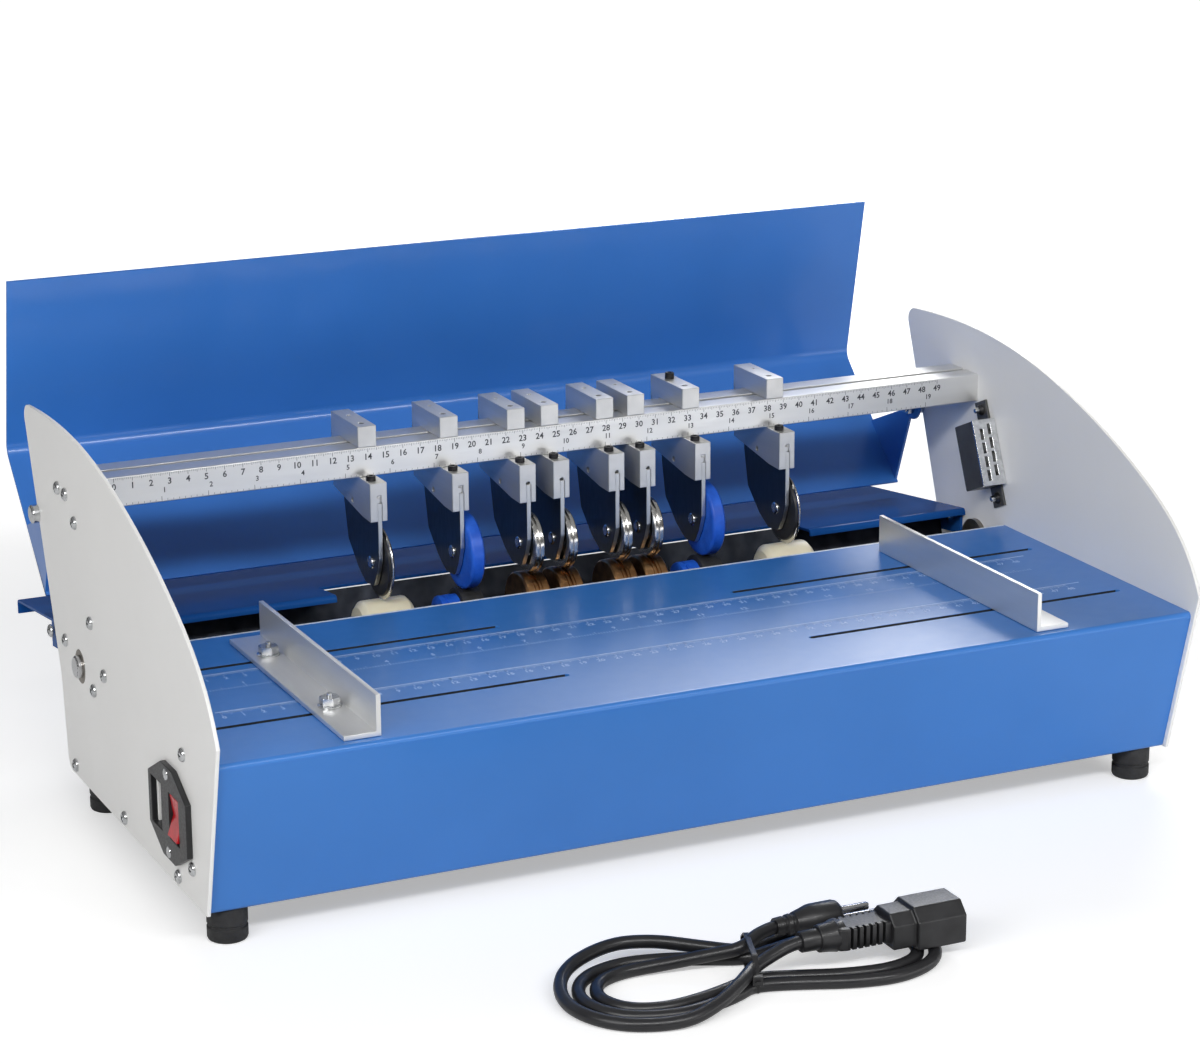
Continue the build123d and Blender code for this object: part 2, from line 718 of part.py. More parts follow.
def motor_bracket():
    """A folded steel bracket: an upright plate on the gearbox face and a foot on the pan."""
    plate_x1 = motor_face_x
    plate_x0 = plate_x1 - 2.5
    upright = block(plate_x0, plate_x1, motor_y - 30, motor_y + 30, case_sheet, motor_z + 28)
    foot = block(plate_x0, plate_x0 + 60, motor_y - 30, motor_y + 30, case_sheet, case_sheet + 2.5)
    return upright + foot - bar_x(plate_x0 - 1, plate_x1 + 1, motor_y, motor_z, motor_shaft_radius + 4)


def motor_pulley():
    """The toothed pulley with the output shaft that it is pinned to."""
    drum = bar_x(pulley_x0, pulley_x1, motor_y, motor_z, motor_pulley_radius)
    rims = bar_x(pulley_x0, pulley_x0 + 1, motor_y, motor_z, motor_pulley_radius + 2)
    rims += bar_x(pulley_x1 - 1, pulley_x1, motor_y, motor_z, motor_pulley_radius + 2)
    return drum + rims + bar_x(pulley_x0 - 2, motor_face_x + 11, motor_y, motor_z, motor_shaft_radius)


def shaft_pulley():
    drum = bar_x(pulley_x0, pulley_x1, shaft_y, shaft_z, shaft_pulley_radius)
    rims = bar_x(pulley_x0, pulley_x0 + 1, shaft_y, shaft_z, shaft_pulley_radius + 2)
    rims += bar_x(pulley_x1 - 1, pulley_x1, shaft_y, shaft_z, shaft_pulley_radius + 2)
    return drum + rims - bar_x(pulley_x0 - 1, pulley_x1 + 1, shaft_y, shaft_z, shaft_radius)


def belt_loop(gap):
    """The shape round both pulleys, at a gap from their drums."""
    reach = math.hypot(shaft_y - motor_y, shaft_z - motor_z)
    slant = math.atan2(shaft_z - motor_z, shaft_y - motor_y)
    spread = math.asin((shaft_pulley_radius - motor_pulley_radius) / reach)
    small = motor_pulley_radius + gap
    large = shaft_pulley_radius + gap

    def around(y, z, radius, angle):
        return (y + radius * math.cos(angle), z + radius * math.sin(angle))

    upper = slant + math.pi / 2 + spread
    lower = slant - math.pi / 2 - spread
    motor_up = around(motor_y, motor_z, small, upper)
    motor_low = around(motor_y, motor_z, small, lower)
    motor_back = around(motor_y, motor_z, small, slant + math.pi)
    shaft_up = around(shaft_y, shaft_z, large, upper)
    shaft_low = around(shaft_y, shaft_z, large, lower)
    shaft_ahead = around(shaft_y, shaft_z, large, slant)
    return make_face([
        Line(motor_up, shaft_up),
        ThreePointArc(shaft_up, shaft_ahead, shaft_low),
        Line(shaft_low, motor_low),
        ThreePointArc(motor_low, motor_back, motor_up),
    ])


def drive_belt():
    middle = (pulley_x0 + pulley_x1) / 2
    x0, x1 = middle - belt_width / 2, middle + belt_width / 2
    outside = across(belt_loop(free_gap + belt_thickness), x0, x1)
    return outside - across(belt_loop(free_gap), x0 - 1, x1 + 1)


write("drive_motor", drive_motor())
write("motor_bracket", motor_bracket())
write("motor_pulley", motor_pulley())
write("shaft_pulley", shaft_pulley())
write("drive_belt", drive_belt())


# ---- power inlet with its rocker switch ----
def power_inlet():
    """A moulded inlet: six-sided plate outside, body behind it, socket with three pins."""
    half_w = inlet_width / 2
    half_h = inlet_height / 2
    plate_shape = outline(
        (inlet_y - half_w, inlet_z - inlet_side / 2),
        (inlet_y - 9, inlet_z - half_h),
        (inlet_y + 9, inlet_z - half_h),
        (inlet_y + half_w, inlet_z - inlet_side / 2),
        (inlet_y + half_w, inlet_z + inlet_side / 2),
        (inlet_y + 9, inlet_z + half_h),
        (inlet_y - 9, inlet_z + half_h),
        (inlet_y - half_w, inlet_z + inlet_side / 2),
    )
    face_x = -panel_outer_x - inlet_plate
    plate = across(plate_shape, face_x, -panel_outer_x)
    body = across(inlet_body(), -panel_outer_x, -half_width + inlet_depth)
    mould = plate + body
    socket_shape = Pos(inlet_y + socket_y, inlet_z) * Rectangle(15.5, 24)
    mould -= across(socket_shape, face_x - 1, face_x + 18)
    rocker_room = Pos(inlet_y + rocker_y, inlet_z) * Rectangle(rocker_width + 1, rocker_height + 2.4)
    mould -= across(rocker_room, face_x - 1, face_x + 15)
    for offset_y, offset_z in ((2.0, 7.0), (-2.0, 0.0), (2.0, -7.0)):
        pin = Pos(inlet_y + socket_y + offset_y, inlet_z + offset_z) * Rectangle(4, 2)
        mould += across(pin, face_x + 4, face_x + 18)
    for end in (-1, 1):
        mould -= bar_x(face_x - 1, -panel_outer_x + 1, inlet_y, inlet_z + end * 20, 1.6)
    pin_y = inlet_y + rocker_y
    half_pin = rocker_width / 2 + 1
    return mould + bar_y(face_x + rocker_sink, pin_y - half_pin, pin_y + half_pin, inlet_z, 1.0)


def rocker_switch():
    """The red rocker: a shallow V that tips about a pin along y."""
    face_x = -panel_outer_x - inlet_plate
    pin_x = face_x + rocker_sink
    half = rocker_height / 2
    shape = Polyline(
        (pin_x + 3.0, inlet_z - half * 0.7),
        (pin_x - 5.0, inlet_z - half),
        (pin_x - 7.5, inlet_z - half),
        (pin_x - 5.0, inlet_z),
        (pin_x - 7.5, inlet_z + half),
        (pin_x - 5.0, inlet_z + half),
        (pin_x + 3.0, inlet_z + half * 0.7),
        close=True,
    )
    y1 = inlet_y + rocker_y + rocker_width / 2
    rocker = extrude(Plane.XZ.offset(-y1) * make_face(shape), rocker_width)
    rocker -= bar_y(pin_x, y1 - rocker_width - 1, y1 + 1, inlet_z, 1.0 + running_gap)
    tip = Pos(pin_x, 0, inlet_z) * Rot(0, rocker_tip, 0) * Pos(-pin_x, 0, -inlet_z)
    return tip * rocker


write("power_inlet", power_inlet())
write("rocker_switch", rocker_switch())


# ---- magnetic catches, one inside each panel ----
def magnetic_catch(side):
    outer = side * half_width
    inner = outer - side * catch_width
    x0, x1 = sorted((outer, inner))
    p0, p1 = sorted((outer, outer - side * 1.5))
    lean_turn = Pos(0, catch_y, catch_z) * Rot(-catch_lean, 0, 0) * Pos(0, -catch_y, -catch_z)
    front_y = catch_y - catch_depth / 2
    low_z = catch_z - catch_length / 2
    case = block(x0, x1, front_y, front_y + catch_depth, low_z, low_z + catch_length)
    case = fillet(case.edges().filter_by(Axis.X), 1.0)
    for step in (-2, -1, 0, 1, 2):
        z = catch_z + step * catch_length / 6
        case -= block(x0 + 2.5, x1 - 2.5, front_y - 1, front_y + 1.5, z - 1, z + 1)
    ear_reach = catch_screw_reach + 5
    ears = block(p0, p1, catch_y - 6, catch_y + 6, catch_z - ear_reach, catch_z + ear_reach)
    return lean_turn * (case + ears) - screw_bores


write("magnetic_catches", magnetic_catch(-1), magnetic_catch(1))


# ---- rubber feet ----
def rubber_foot(x, y):
    foot = bar_z(x, y, floor_z, 0, foot_radius)
    return fillet(foot.edges().filter_by(GeomType.CIRCLE).sort_by(Axis.Z)[0], 1.5)


write("rubber_feet", *[rubber_foot(x, y) for x in (-foot_x, foot_x) for y in (foot_front_y, foot_back_y)])


# ---- power lead: a tied hank, with its connector and its plug lying on the small folds ----
def lead_hank():
    waist = outline(
        (left_fold[0], left_fold[1] + left_fold_radius),
        tie_back,
        (right_fold[0], right_fold[1] + right_fold_radius),
        (right_fold[0], right_fold[1] - right_fold_radius),
        tie_front,
        (left_fold[0], left_fold[1] - left_fold_radius),
    )
    turns = waist + Pos(*left_fold) * Circle(left_fold_radius) + Pos(*right_fold) * Circle(right_fold_radius)
    whole = extrude(Plane.XY.offset(floor_z) * turns, hank_high)
    end_x = right_fold[0] + right_fold_radius + 1
    front_y = right_fold[1] - right_fold_radius - 1
    back_y = right_fold[1] + right_fold_radius + 1
    low_end = block(connector_start_x, end_x, front_y, back_y, floor_z + hank_low, floor_z + hank_high + 1)
    return whole - low_end


def lead_connector():
    """The moulded connector: a thin sleeve and ribs on the lead, then the head with the socket."""
    low = floor_z + hank_low
    middle = low + connector_height / 2
    head_x = connector_start_x + relief_length
    half = connector_width / 2
    head = block(
        head_x, connector_start_x + connector_length,
        connector_y - half, connector_y + half, low, low + connector_height,
    )
    head = fillet(head.edges().filter_by(Axis.X), 4)
    sleeve_start = Plane((connector_start_x, connector_y, middle), z_dir=(1, 0, 0))
    return head + Solid.make_cone(sleeve_radius, head_neck_radius, relief_length, sleeve_start)


def lead_plug():
    """A slim moulded plug with two round pins."""
    middle = floor_z + hank_low + plug_radius
    body_end = connector_start_x + plug_length
    body = bar_x(connector_start_x, body_end, plug_y, middle, plug_radius)
    body = fillet(body.edges().filter_by(GeomType.CIRCLE).sort_by(Axis.X)[-1], 2)
    for side in (-1, 1):
        body += bar_x(body_end, body_end + plug_pin_length, plug_y + side * 4.5, middle, 2.0)
    return body


write("power_lead", lead_hank())
write("lead_connector", lead_connector())
write("lead_plug", lead_plug())
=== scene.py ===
import json
import math

import bmesh
import bpy
from mathutils import Matrix, Vector

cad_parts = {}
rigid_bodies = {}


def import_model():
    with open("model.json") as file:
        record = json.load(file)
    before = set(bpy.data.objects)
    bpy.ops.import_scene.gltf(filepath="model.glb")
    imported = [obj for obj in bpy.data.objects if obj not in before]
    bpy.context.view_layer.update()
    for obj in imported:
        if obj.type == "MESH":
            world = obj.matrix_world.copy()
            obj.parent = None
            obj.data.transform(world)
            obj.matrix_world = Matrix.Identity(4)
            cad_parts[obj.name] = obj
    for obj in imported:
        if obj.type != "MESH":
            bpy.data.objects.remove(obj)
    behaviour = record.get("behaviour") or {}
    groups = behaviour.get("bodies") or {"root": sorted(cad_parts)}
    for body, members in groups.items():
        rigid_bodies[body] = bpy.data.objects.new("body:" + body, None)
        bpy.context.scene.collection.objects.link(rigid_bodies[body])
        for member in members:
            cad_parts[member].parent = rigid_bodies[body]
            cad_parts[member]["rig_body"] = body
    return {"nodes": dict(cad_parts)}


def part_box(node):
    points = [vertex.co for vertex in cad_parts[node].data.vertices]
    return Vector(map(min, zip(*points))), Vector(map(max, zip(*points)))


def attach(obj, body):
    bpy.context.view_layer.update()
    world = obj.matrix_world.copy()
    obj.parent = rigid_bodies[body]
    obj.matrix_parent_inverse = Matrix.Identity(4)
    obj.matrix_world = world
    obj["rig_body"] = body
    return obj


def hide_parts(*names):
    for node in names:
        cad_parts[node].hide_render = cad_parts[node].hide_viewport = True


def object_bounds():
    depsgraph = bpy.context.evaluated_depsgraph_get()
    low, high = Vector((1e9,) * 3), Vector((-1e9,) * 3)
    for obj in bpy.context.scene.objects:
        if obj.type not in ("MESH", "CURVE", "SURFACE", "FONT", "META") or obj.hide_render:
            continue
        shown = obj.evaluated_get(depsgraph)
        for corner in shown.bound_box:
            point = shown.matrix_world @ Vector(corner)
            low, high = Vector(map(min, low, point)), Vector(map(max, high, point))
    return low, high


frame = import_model()
cad_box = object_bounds()


# ---- Studio ----
# A pale floor that keeps the soft shadow of the machine, an even white room and four soft boxes.
# The camera stands at the front left, above the table, and looks down along the creasing wheels.
mm = 0.001
room_light, dim_wall, room_overhead = 0.11, 0.07, 0.3
floor_grey, near_glow, far_glow, mirrored_glow = 0.82, 0.42, 0.95, 0.1
camera_place = (-0.716, -1.561, 0.628)
camera_yaw, camera_pitch, camera_roll = 24.95, 16.15, -0.31
camera_lens, film_width = 99.5, 36.0

bpy.context.scene.view_settings.view_transform = "Standard"


def spread(nodes, start, end, low, high):
    """A node that turns a number between start and end into one between low and high."""
    node = nodes.new("ShaderNodeMapRange")
    for socket, value in zip(("From Min", "From Max", "To Min", "To Max"), (start, end, low, high)):
        node.inputs[socket].default_value = value
    return node


def white_room():
    """An even light, which reflections see as a room that is dim low down and brighter overhead."""
    world = bpy.data.worlds.new("white_room")
    bpy.context.scene.world = world
    world.use_nodes = True
    nodes, links = world.node_tree.nodes, world.node_tree.links
    way = nodes.new("ShaderNodeSeparateXYZ")
    links.new(nodes.new("ShaderNodeTexCoord").outputs["Generated"], way.inputs["Vector"])
    overhead = spread(nodes, 0.05, 0.65, dim_wall, room_overhead)
    links.new(way.outputs["Z"], overhead.inputs["Value"])
    path = nodes.new("ShaderNodeLightPath")
    reflected = nodes.new("ShaderNodeMath")
    reflected.use_clamp = True
    links.new(path.outputs["Is Glossy Ray"], reflected.inputs[0])
    links.new(path.outputs["Is Transmission Ray"], reflected.inputs[1])
    strength = spread(nodes, 0, 1, room_light, 1)
    links.new(reflected.outputs[0], strength.inputs["Value"])
    links.new(overhead.outputs["Result"], strength.inputs["To Max"])
    white = spread(nodes, 0, 1, 0, 1)
    links.new(path.outputs["Is Camera Ray"], white.inputs["Value"])
    links.new(strength.outputs["Result"], white.inputs["To Min"])
    nodes["Background"].inputs["Color"].default_value = (1, 1, 1, 1)
    links.new(white.outputs["Result"], nodes["Background"].inputs["Strength"])


def pale_floor():
    """A matt floor, which the camera sees fade to white away from the machine."""
    bpy.ops.object.select_all(action="DESELECT")
    bpy.ops.mesh.primitive_plane_add(size=30, location=(0, 6, 0))
    floor = bpy.context.object
    floor.name = "studio_floor"
    material = bpy.data.materials.new("pale_floor")
    material.use_nodes = True
    nodes, links = material.node_tree.nodes, material.node_tree.links
    nodes.remove(nodes["Principled BSDF"])
    matt = nodes.new("ShaderNodeBsdfDiffuse")
    matt.inputs["Color"].default_value = (floor_grey, floor_grey, floor_grey, 1)
    away = nodes.new("ShaderNodeVectorMath")
    away.operation = "LENGTH"
    links.new(nodes.new("ShaderNodeNewGeometry").outputs["Position"], away.inputs[0])
    fade = spread(nodes, 0.45, 1.8, near_glow, far_glow)
    links.new(away.outputs["Value"], fade.inputs["Value"])
    path = nodes.new("ShaderNodeLightPath")
    looked_at = nodes.new("ShaderNodeMath")
    looked_at.operation = "MULTIPLY_ADD"
    looked_at.inputs[1].default_value = mirrored_glow
    links.new(path.outputs["Is Glossy Ray"], looked_at.inputs[0])
    links.new(path.outputs["Is Camera Ray"], looked_at.inputs[2])
    strength = nodes.new("ShaderNodeMath")
    strength.operation = "MULTIPLY"
    links.new(looked_at.outputs[0], strength.inputs[0])
    links.new(fade.outputs["Result"], strength.inputs[1])
    glow = nodes.new("ShaderNodeEmission")
    links.new(strength.outputs[0], glow.inputs["Strength"])
    both = nodes.new("ShaderNodeAddShader")
    links.new(matt.outputs[0], both.inputs[0])
    links.new(glow.outputs[0], both.inputs[1])
    links.new(both.outputs[0], nodes["Material Output"].inputs["Surface"])
    floor.data.materials.append(material)


def soft_box(name, place, aim, width, height, power):
    bpy.ops.object.light_add(type="AREA", location=place)
    lamp = bpy.context.object
    lamp.name = name
    lamp.data.shape = "RECTANGLE"
    lamp.data.size, lamp.data.size_y, lamp.data.energy = width, height, power
    lamp.rotation_euler = (Vector(aim) - Vector(place)).to_track_quat("-Z", "Y").to_euler()
    lamp.visible_camera = False


def studio_camera():
    bpy.ops.object.camera_add()
    camera = bpy.context.object
    camera.data.lens, camera.data.sensor_width = camera_lens, film_width
    turn = Matrix.Rotation(math.radians(-camera_yaw), 4, "Z")
    tilt = Matrix.Rotation(math.radians(90 - camera_pitch), 4, "X")
    roll = Matrix.Rotation(math.radians(camera_roll), 4, "Z")
    camera.matrix_world = Matrix.Translation(camera_place) @ turn @ tilt @ roll
    bpy.context.scene.camera = camera


white_room()
pale_floor()
soft_box("front_strip", (-0.35, -1.9, 1.60), (0, 0, 0.1), 3.0, 0.22, 38)
soft_box("table_bounce", (0.5, -0.62, 0.02), (0.15, 0, 0.24), 1.0, 0.28, 1.7)
soft_box("left_light", (-1.5, -0.9, 0.9), (0, 0, 0.1), 0.8, 0.8, 10.3)
soft_box("back_light", (1.25, 1.4, 1.15), (0.15, -0.1, 0.1), 1.0, 0.6, 20)
studio_camera()


# ---- Bottom pan ----
# One sheet of zinc-plated steel, folded up at the back, its grey darkened as painted shade of the case's
# inside. It is the floor and the back wall of the case, and is screwed to both side panels through its end
# flanges.
grain_range = (0.32, 0.68)
fold_angle = math.radians(38)
weld = 0.002 * mm


def grain(material, spot, stretch=(1, 1, 1), detail=2.0):
    """A noise with spots of that many millimetres, drawn out along an axis by a stretch below 1."""
    nodes, links = material.node_tree.nodes, material.node_tree.links
    mapping = nodes.new("ShaderNodeMapping")
    mapping.inputs["Scale"].default_value = [s / (spot * mm) for s in stretch]
    noise = nodes.new("ShaderNodeTexNoise")
    noise.inputs["Scale"].default_value = 1.0
    noise.inputs["Detail"].default_value = detail
    links.new(nodes.new("ShaderNodeTexCoord").outputs["Object"], mapping.inputs["Vector"])
    links.new(mapping.outputs["Vector"], noise.inputs["Vector"])
    return noise.outputs["Fac"]


def pattern_of(material, made):
    """A pattern: a grain, by its spot or its (spot, stretch, detail), or what a function draws."""
    if callable(made):
        return made(material)
    return grain(material, *made) if isinstance(made, tuple) else grain(material, made)


def finish(name, low_colour, high_colour, rough, patterns, depth=0, **sockets):
    """A finish whose colour, roughness and relief each follow a pattern. The depth of its relief is
    in millimetres, and the shader's other sockets are given by their names."""
    material = bpy.data.materials.new(name)
    material.use_nodes = True
    nodes, links = material.node_tree.nodes, material.node_tree.links
    shader = nodes["Principled BSDF"]
    for socket, value in sockets.items():
        shader.inputs[socket.replace("_", " ")].default_value = value
    colour_pattern, rough_pattern, *raised = [pattern_of(material, made) for made in patterns]
    ramp = nodes.new("ShaderNodeValToRGB")
    for stop, at, colour in zip(ramp.color_ramp.elements, grain_range, (low_colour, high_colour)):
        stop.position, stop.color = at, (*colour, 1)
    links.new(colour_pattern, ramp.inputs["Fac"])
    links.new(ramp.outputs["Color"], shader.inputs["Base Color"])
    roughness = spread(nodes, *grain_range, *rough)
    links.new(rough_pattern, roughness.inputs["Value"])
    links.new(roughness.outputs["Result"], shader.inputs["Roughness"])
    if raised:
        bump = nodes.new("ShaderNodeBump")
        bump.inputs["Distance"].default_value = depth * mm
        links.new(raised[0], bump.inputs["Height"])
        links.new(bump.outputs["Normal"], shader.inputs["Normal"])
    return material


def worked(piece, step, **settings):
    """Puts a modifier on the piece in hand, with its settings, and applies it."""
    modifier = piece.modifiers.new(step, step)
    for setting, value in settings.items():
        setattr(modifier, setting, value)
    bpy.ops.object.modifier_apply(modifier=modifier.name)


def break_edges(piece, edge):
    """Bevels the sharp edges of the piece in hand, then smooths it and weights its normals."""
    if edge:
        worked(piece, "BEVEL", width=edge * mm, segments=3, limit_method="ANGLE", angle_limit=fold_angle,
               use_clamp_overlap=False)
    bpy.ops.object.shade_smooth_by_angle(angle=fold_angle)
    worked(piece, "WEIGHTED_NORMAL", keep_sharp=True)


def dressed(node, material, edge=0.3):
    """The finished piece of a CAD node: its edges broken by edge millimetres and its faces smoothed."""
    bpy.ops.object.select_all(action="DESELECT")
    piece = bpy.data.objects.new(node + "_piece", frame["nodes"][node].data.copy())
    bpy.context.collection.objects.link(piece)
    piece.data.materials.clear()
    piece.data.materials.append(material)
    piece.select_set(True)
    bpy.context.view_layer.objects.active = piece
    bpy.ops.object.mode_set(mode="EDIT")
    bpy.ops.mesh.select_all(action="SELECT")
    bpy.ops.mesh.remove_doubles(threshold=weld)
    bpy.ops.mesh.dissolve_limited(angle_limit=math.radians(0.8))
    bpy.ops.object.mode_set(mode="OBJECT")
    break_edges(piece, edge)
    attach(piece, frame["nodes"][node]["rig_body"])
    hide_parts(node)


# Zinc-plated steel whose grey is darkened as painted shade of the case's inside; the motor bracket shares it.
zinc = finish("galvanised_steel", (0.030, 0.034, 0.044), (0.052, 0.057, 0.070), (0.42, 0.6),
              ((9, (1, 1, 1), 0), 4, 0.6), 0.02, Metallic=1.0)
dressed("bottom_pan", zinc, 0.2)


# ---- Feet ----
# Four black rubber feet, moulded with a groove round the waist, each held under the pan by a
# countersunk screw.
def turned(rings, middle, axis="X", segments=64):
    """A piece turned ring by ring from (distance, radius) pairs; the last pair may be the first."""
    bored = rings[0] == rings[-1]
    bpy.ops.object.select_all(action="DESELECT")
    at, radius = rings[0]
    bpy.ops.mesh.primitive_circle_add(
        vertices=segments, radius=radius * mm, fill_type="NOTHING" if bored else "NGON")
    piece = bpy.context.object
    bpy.ops.object.mode_set(mode="EDIT")
    bpy.ops.mesh.select_all(action="SELECT")
    bpy.ops.transform.translate(value=(0, 0, at * mm))
    for next_at, next_radius in rings[1:]:
        bpy.ops.mesh.extrude_region_move(TRANSFORM_OT_translate={"value": (0, 0, (next_at - at) * mm)})
        share = next_radius / radius
        bpy.ops.transform.resize(value=(share, share, 1), center_override=(0, 0, next_at * mm))
        at, radius = next_at, next_radius
    bpy.ops.mesh.select_all(action="SELECT")
    bpy.ops.mesh.remove_doubles(threshold=0.001 * mm)
    bpy.ops.mesh.normals_make_consistent(inside=False)
    bpy.ops.object.mode_set(mode="OBJECT")
    turn = Matrix.Rotation(math.radians(90), 4, "Y") if axis == "X" else Matrix.Identity(4)
    piece.data.transform(Matrix.Translation(middle) @ turn)
    bpy.ops.object.shade_smooth_by_angle(angle=fold_angle)
    return piece


def copied(piece, moves):
    """Copies of a piece under each of the moves, joined into one; the piece itself goes."""
    copies = []
    for move in moves:
        copy = piece.copy()
        copy.data = piece.data.copy()
        copy.data.transform(move)
        bpy.context.collection.objects.link(copy)
        copies.append(copy)
    bpy.data.objects.remove(piece)
    return joined(copies)


def joined(pieces):
    """The pieces as one mesh, under the first one's name."""
    bpy.ops.object.select_all(action="DESELECT")
    for piece in pieces:
        piece.select_set(True)
    bpy.context.view_layer.objects.active = pieces[0]
    if len(pieces) > 1:
        bpy.ops.object.join()
    return pieces[0]


def settled(piece, name, material, body, slot, *nodes):
    """Names a finished piece, gives it its material and fixes it to its body."""
    piece.name = name
    piece.data.name = name
    piece.data.materials.clear()
    piece.data.materials.append(material)
    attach(piece, body)
    if nodes:
        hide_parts(*nodes)
    return piece


def solids_of(node):
    """The lowest and highest corner of each separate solid of a CAD node."""
    mesh = bmesh.new()
    mesh.from_mesh(frame["nodes"][node].data)
    bmesh.ops.remove_doubles(mesh, verts=mesh.verts, dist=weld)
    waiting, boxes = set(mesh.verts), []
    while waiting:
        shell = [waiting.pop()]
        for vertex in shell:
            for edge in vertex.link_edges:
                other = edge.other_vert(vertex)
                if other in waiting:
                    waiting.remove(other)
                    shell.append(other)
        low = Vector(map(min, *(v.co for v in shell)))
        high = Vector(map(max, *(v.co for v in shell)))
        boxes.append((low, high))
    mesh.free()
    return sorted(boxes, key=lambda box: tuple(box[0]))


rubber = finish("black_rubber", (0.010, 0.010, 0.011), (0.022, 0.022, 0.023), (0.5, 0.72),
                (6, 1.5, 0.25), 0.02)
foot = turned(
    [(2.0, 4.2), (0.0, 4.8), (0.0, 8.6), (0.5, 9.5), (1.6, 10), (6.6, 10), (7.2, 9.3), (8.4, 9.3),
     (9.0, 10), (16.4, 10), (17.2, 9.6), (18.0, 9.6)], (0, 0, 0), "Z")
foot_places = [((low + high) / 2).xy.to_3d() for low, high in solids_of("rubber_feet")]
feet = copied(foot, [Matrix.Translation(place) for place in foot_places])
settled(feet, "moulded_feet", rubber, "frame", "black_rubber", "rubber_feet")


# ---- Side panels ----
# Two steel plates, cut to the curve that hides the cover's swing, and powder-coated off-white.
# They carry the beam, the shaft, the tie rod, the cover and the ends of every folded sheet.
white_paint = finish("white_powder_coat", (0.88, 0.875, 0.86), (0.90, 0.895, 0.88), (0.38, 0.5),
                     (70, 12, (0.9, (1, 1, 1), 1)), 0.03, Coat_Weight=0.15, Coat_Roughness=0.3)
for side in ("left", "right"):
    dressed(f"{side}_side_panel", white_paint, 0.35)


# ---- Scale beam ----
# A drawn aluminium bar with a T-slot along its top, satin anodised. It is screwed between the
# panels and carries a printed scale: centimetres above, inches below.
beam_low, beam_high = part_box("scale_beam")
scale_zero_x = -248.0
last_centimetre = 49
inch = 25.4
print_depth = 0.04
centimetre_figures = 3.3
inch_figures = 2.7


def anodised_aluminium(name, light, dark, draw=(0.03, 1, 1)):
    """Drawn aluminium; draw sets the direction of its fine lines."""
    return finish(name, dark, light, (0.3, 0.42), ((14, draw), (0.8, draw), (0.35, draw)), 0.012,
                  Metallic=0.75)


def printed(name, dark, light):
    """Flat printing ink, a little worn; the painted highlight strip on the deck's rear fold uses it too."""
    return finish(name, dark, light, (0.45, 0.7), (2.5, 0.5))


def block_between(low, high):
    """A block between two corners in millimetres."""
    bpy.ops.object.select_all(action="DESELECT")
    bpy.ops.mesh.primitive_cube_add(size=1)
    piece = bpy.context.object
    size = (Vector(high) - Vector(low)) * mm
    middle = (Vector(high) + Vector(low)) / 2 * mm
    piece.data.transform(Matrix.Translation(middle) @ Matrix.Diagonal((*size, 1)))
    return piece


def tick_row(low, high, step, count):
    """A thin printed tick, repeated along x."""
    tick = block_between(low, high)
    worked(tick, "ARRAY", use_relative_offset=False, use_constant_offset=True,
           constant_offset_displace=(step * mm, 0, 0), count=count)
    return tick


def figures(marks, height, upright):
    """Printed figures: (text, x, y, z) in millimetres, standing up on a wall or lying on a table."""
    pieces = []
    for text, x, y, z in marks:
        bpy.ops.object.text_add()
        word = bpy.context.object
        word.data.body = text
        word.data.align_x, word.data.align_y = "CENTER", "CENTER"
        word.data.size = height * mm / 0.7
        word.data.extrude = print_depth * mm
        word.data.offset = height * mm * 0.028
        word.data.resolution_u = 2
        bpy.ops.object.convert(target="MESH")
        lay = Matrix.Rotation(math.radians(90), 4, "X") if upright else Matrix.Identity(4)
        word = bpy.context.object
        word.data.transform(Matrix.Translation(Vector((x, y, z)) * mm) @ lay)
        pieces.append(word)
    return joined(pieces)


satin_aluminium = anodised_aluminium("satin_aluminium", (0.77, 0.77, 0.76), (0.68, 0.68, 0.67))
black_ink = printed("black_ink", (0.03, 0.03, 0.035), (0.07, 0.07, 0.08))
dressed("scale_beam", satin_aluminium, 0.35)
face_y = beam_low.y / mm
top_z, low_z = beam_high.z / mm, beam_low.z / mm
scale_ticks = [         # half a tick's width, its bottom and top, the step and the number of ticks
    (0.08, top_z - 1.5, top_z - 0.6, 1, 491), (0.1, top_z - 2.0, top_z - 0.6, 5, 99),
    (0.12, top_z - 2.7, top_z - 0.6, 10, 50), (0.08, low_z + 0.6, low_z + 1.6, inch / 8, 153),
    (0.12, low_z + 0.6, low_z + 3.0, inch, 20),
]
tick_rows = [
    tick_row((scale_zero_x - half, face_y - print_depth, bottom),
             (scale_zero_x + half, face_y + print_depth, top), step, count)
    for half, bottom, top, step, count in scale_ticks
]
centimetre_marks = [(str(n), scale_zero_x + 10 * n, face_y, top_z - 5.3) for n in range(last_centimetre + 1)]
inch_marks = [(str(n), scale_zero_x + inch * n + 1.6, face_y, low_z + 6.2) for n in range(1, 20)]
scale_print = joined([
    figures(centimetre_marks, centimetre_figures, True), figures(inch_marks, inch_figures, True), *tick_rows])
settled(scale_print, "scale_print", black_ink, "frame", "aluminium")


# ---- Lower shaft and its bearings ----
# A ground steel shaft that runs in two bushes of sintered bronze, pressed into the panels; the belt
# turns it. A steel tie rod beside it keeps the panels apart.
def steel(name, light, dark, rough, lines=(1, 1, 1), spot=8):
    """Bare or plated steel; lines sets the direction of its grinding marks."""
    return finish(name, dark, light, rough, ((spot, lines), (0.7, lines), (0.3, lines)), 0.01,
                  Metallic=1.0)


ground_steel = steel("ground_steel", (0.66, 0.66, 0.67), (0.54, 0.54, 0.55), (0.16, 0.27), (1, 0.08, 0.08))
bronze = steel("sintered_bronze", (0.34, 0.31, 0.27), (0.24, 0.22, 0.19), (0.34, 0.5))
dressed("shaft_bearings", bronze, 0.2)
dressed("lower_shaft", ground_steel, 0)
dressed("tie_rod", ground_steel, 0)


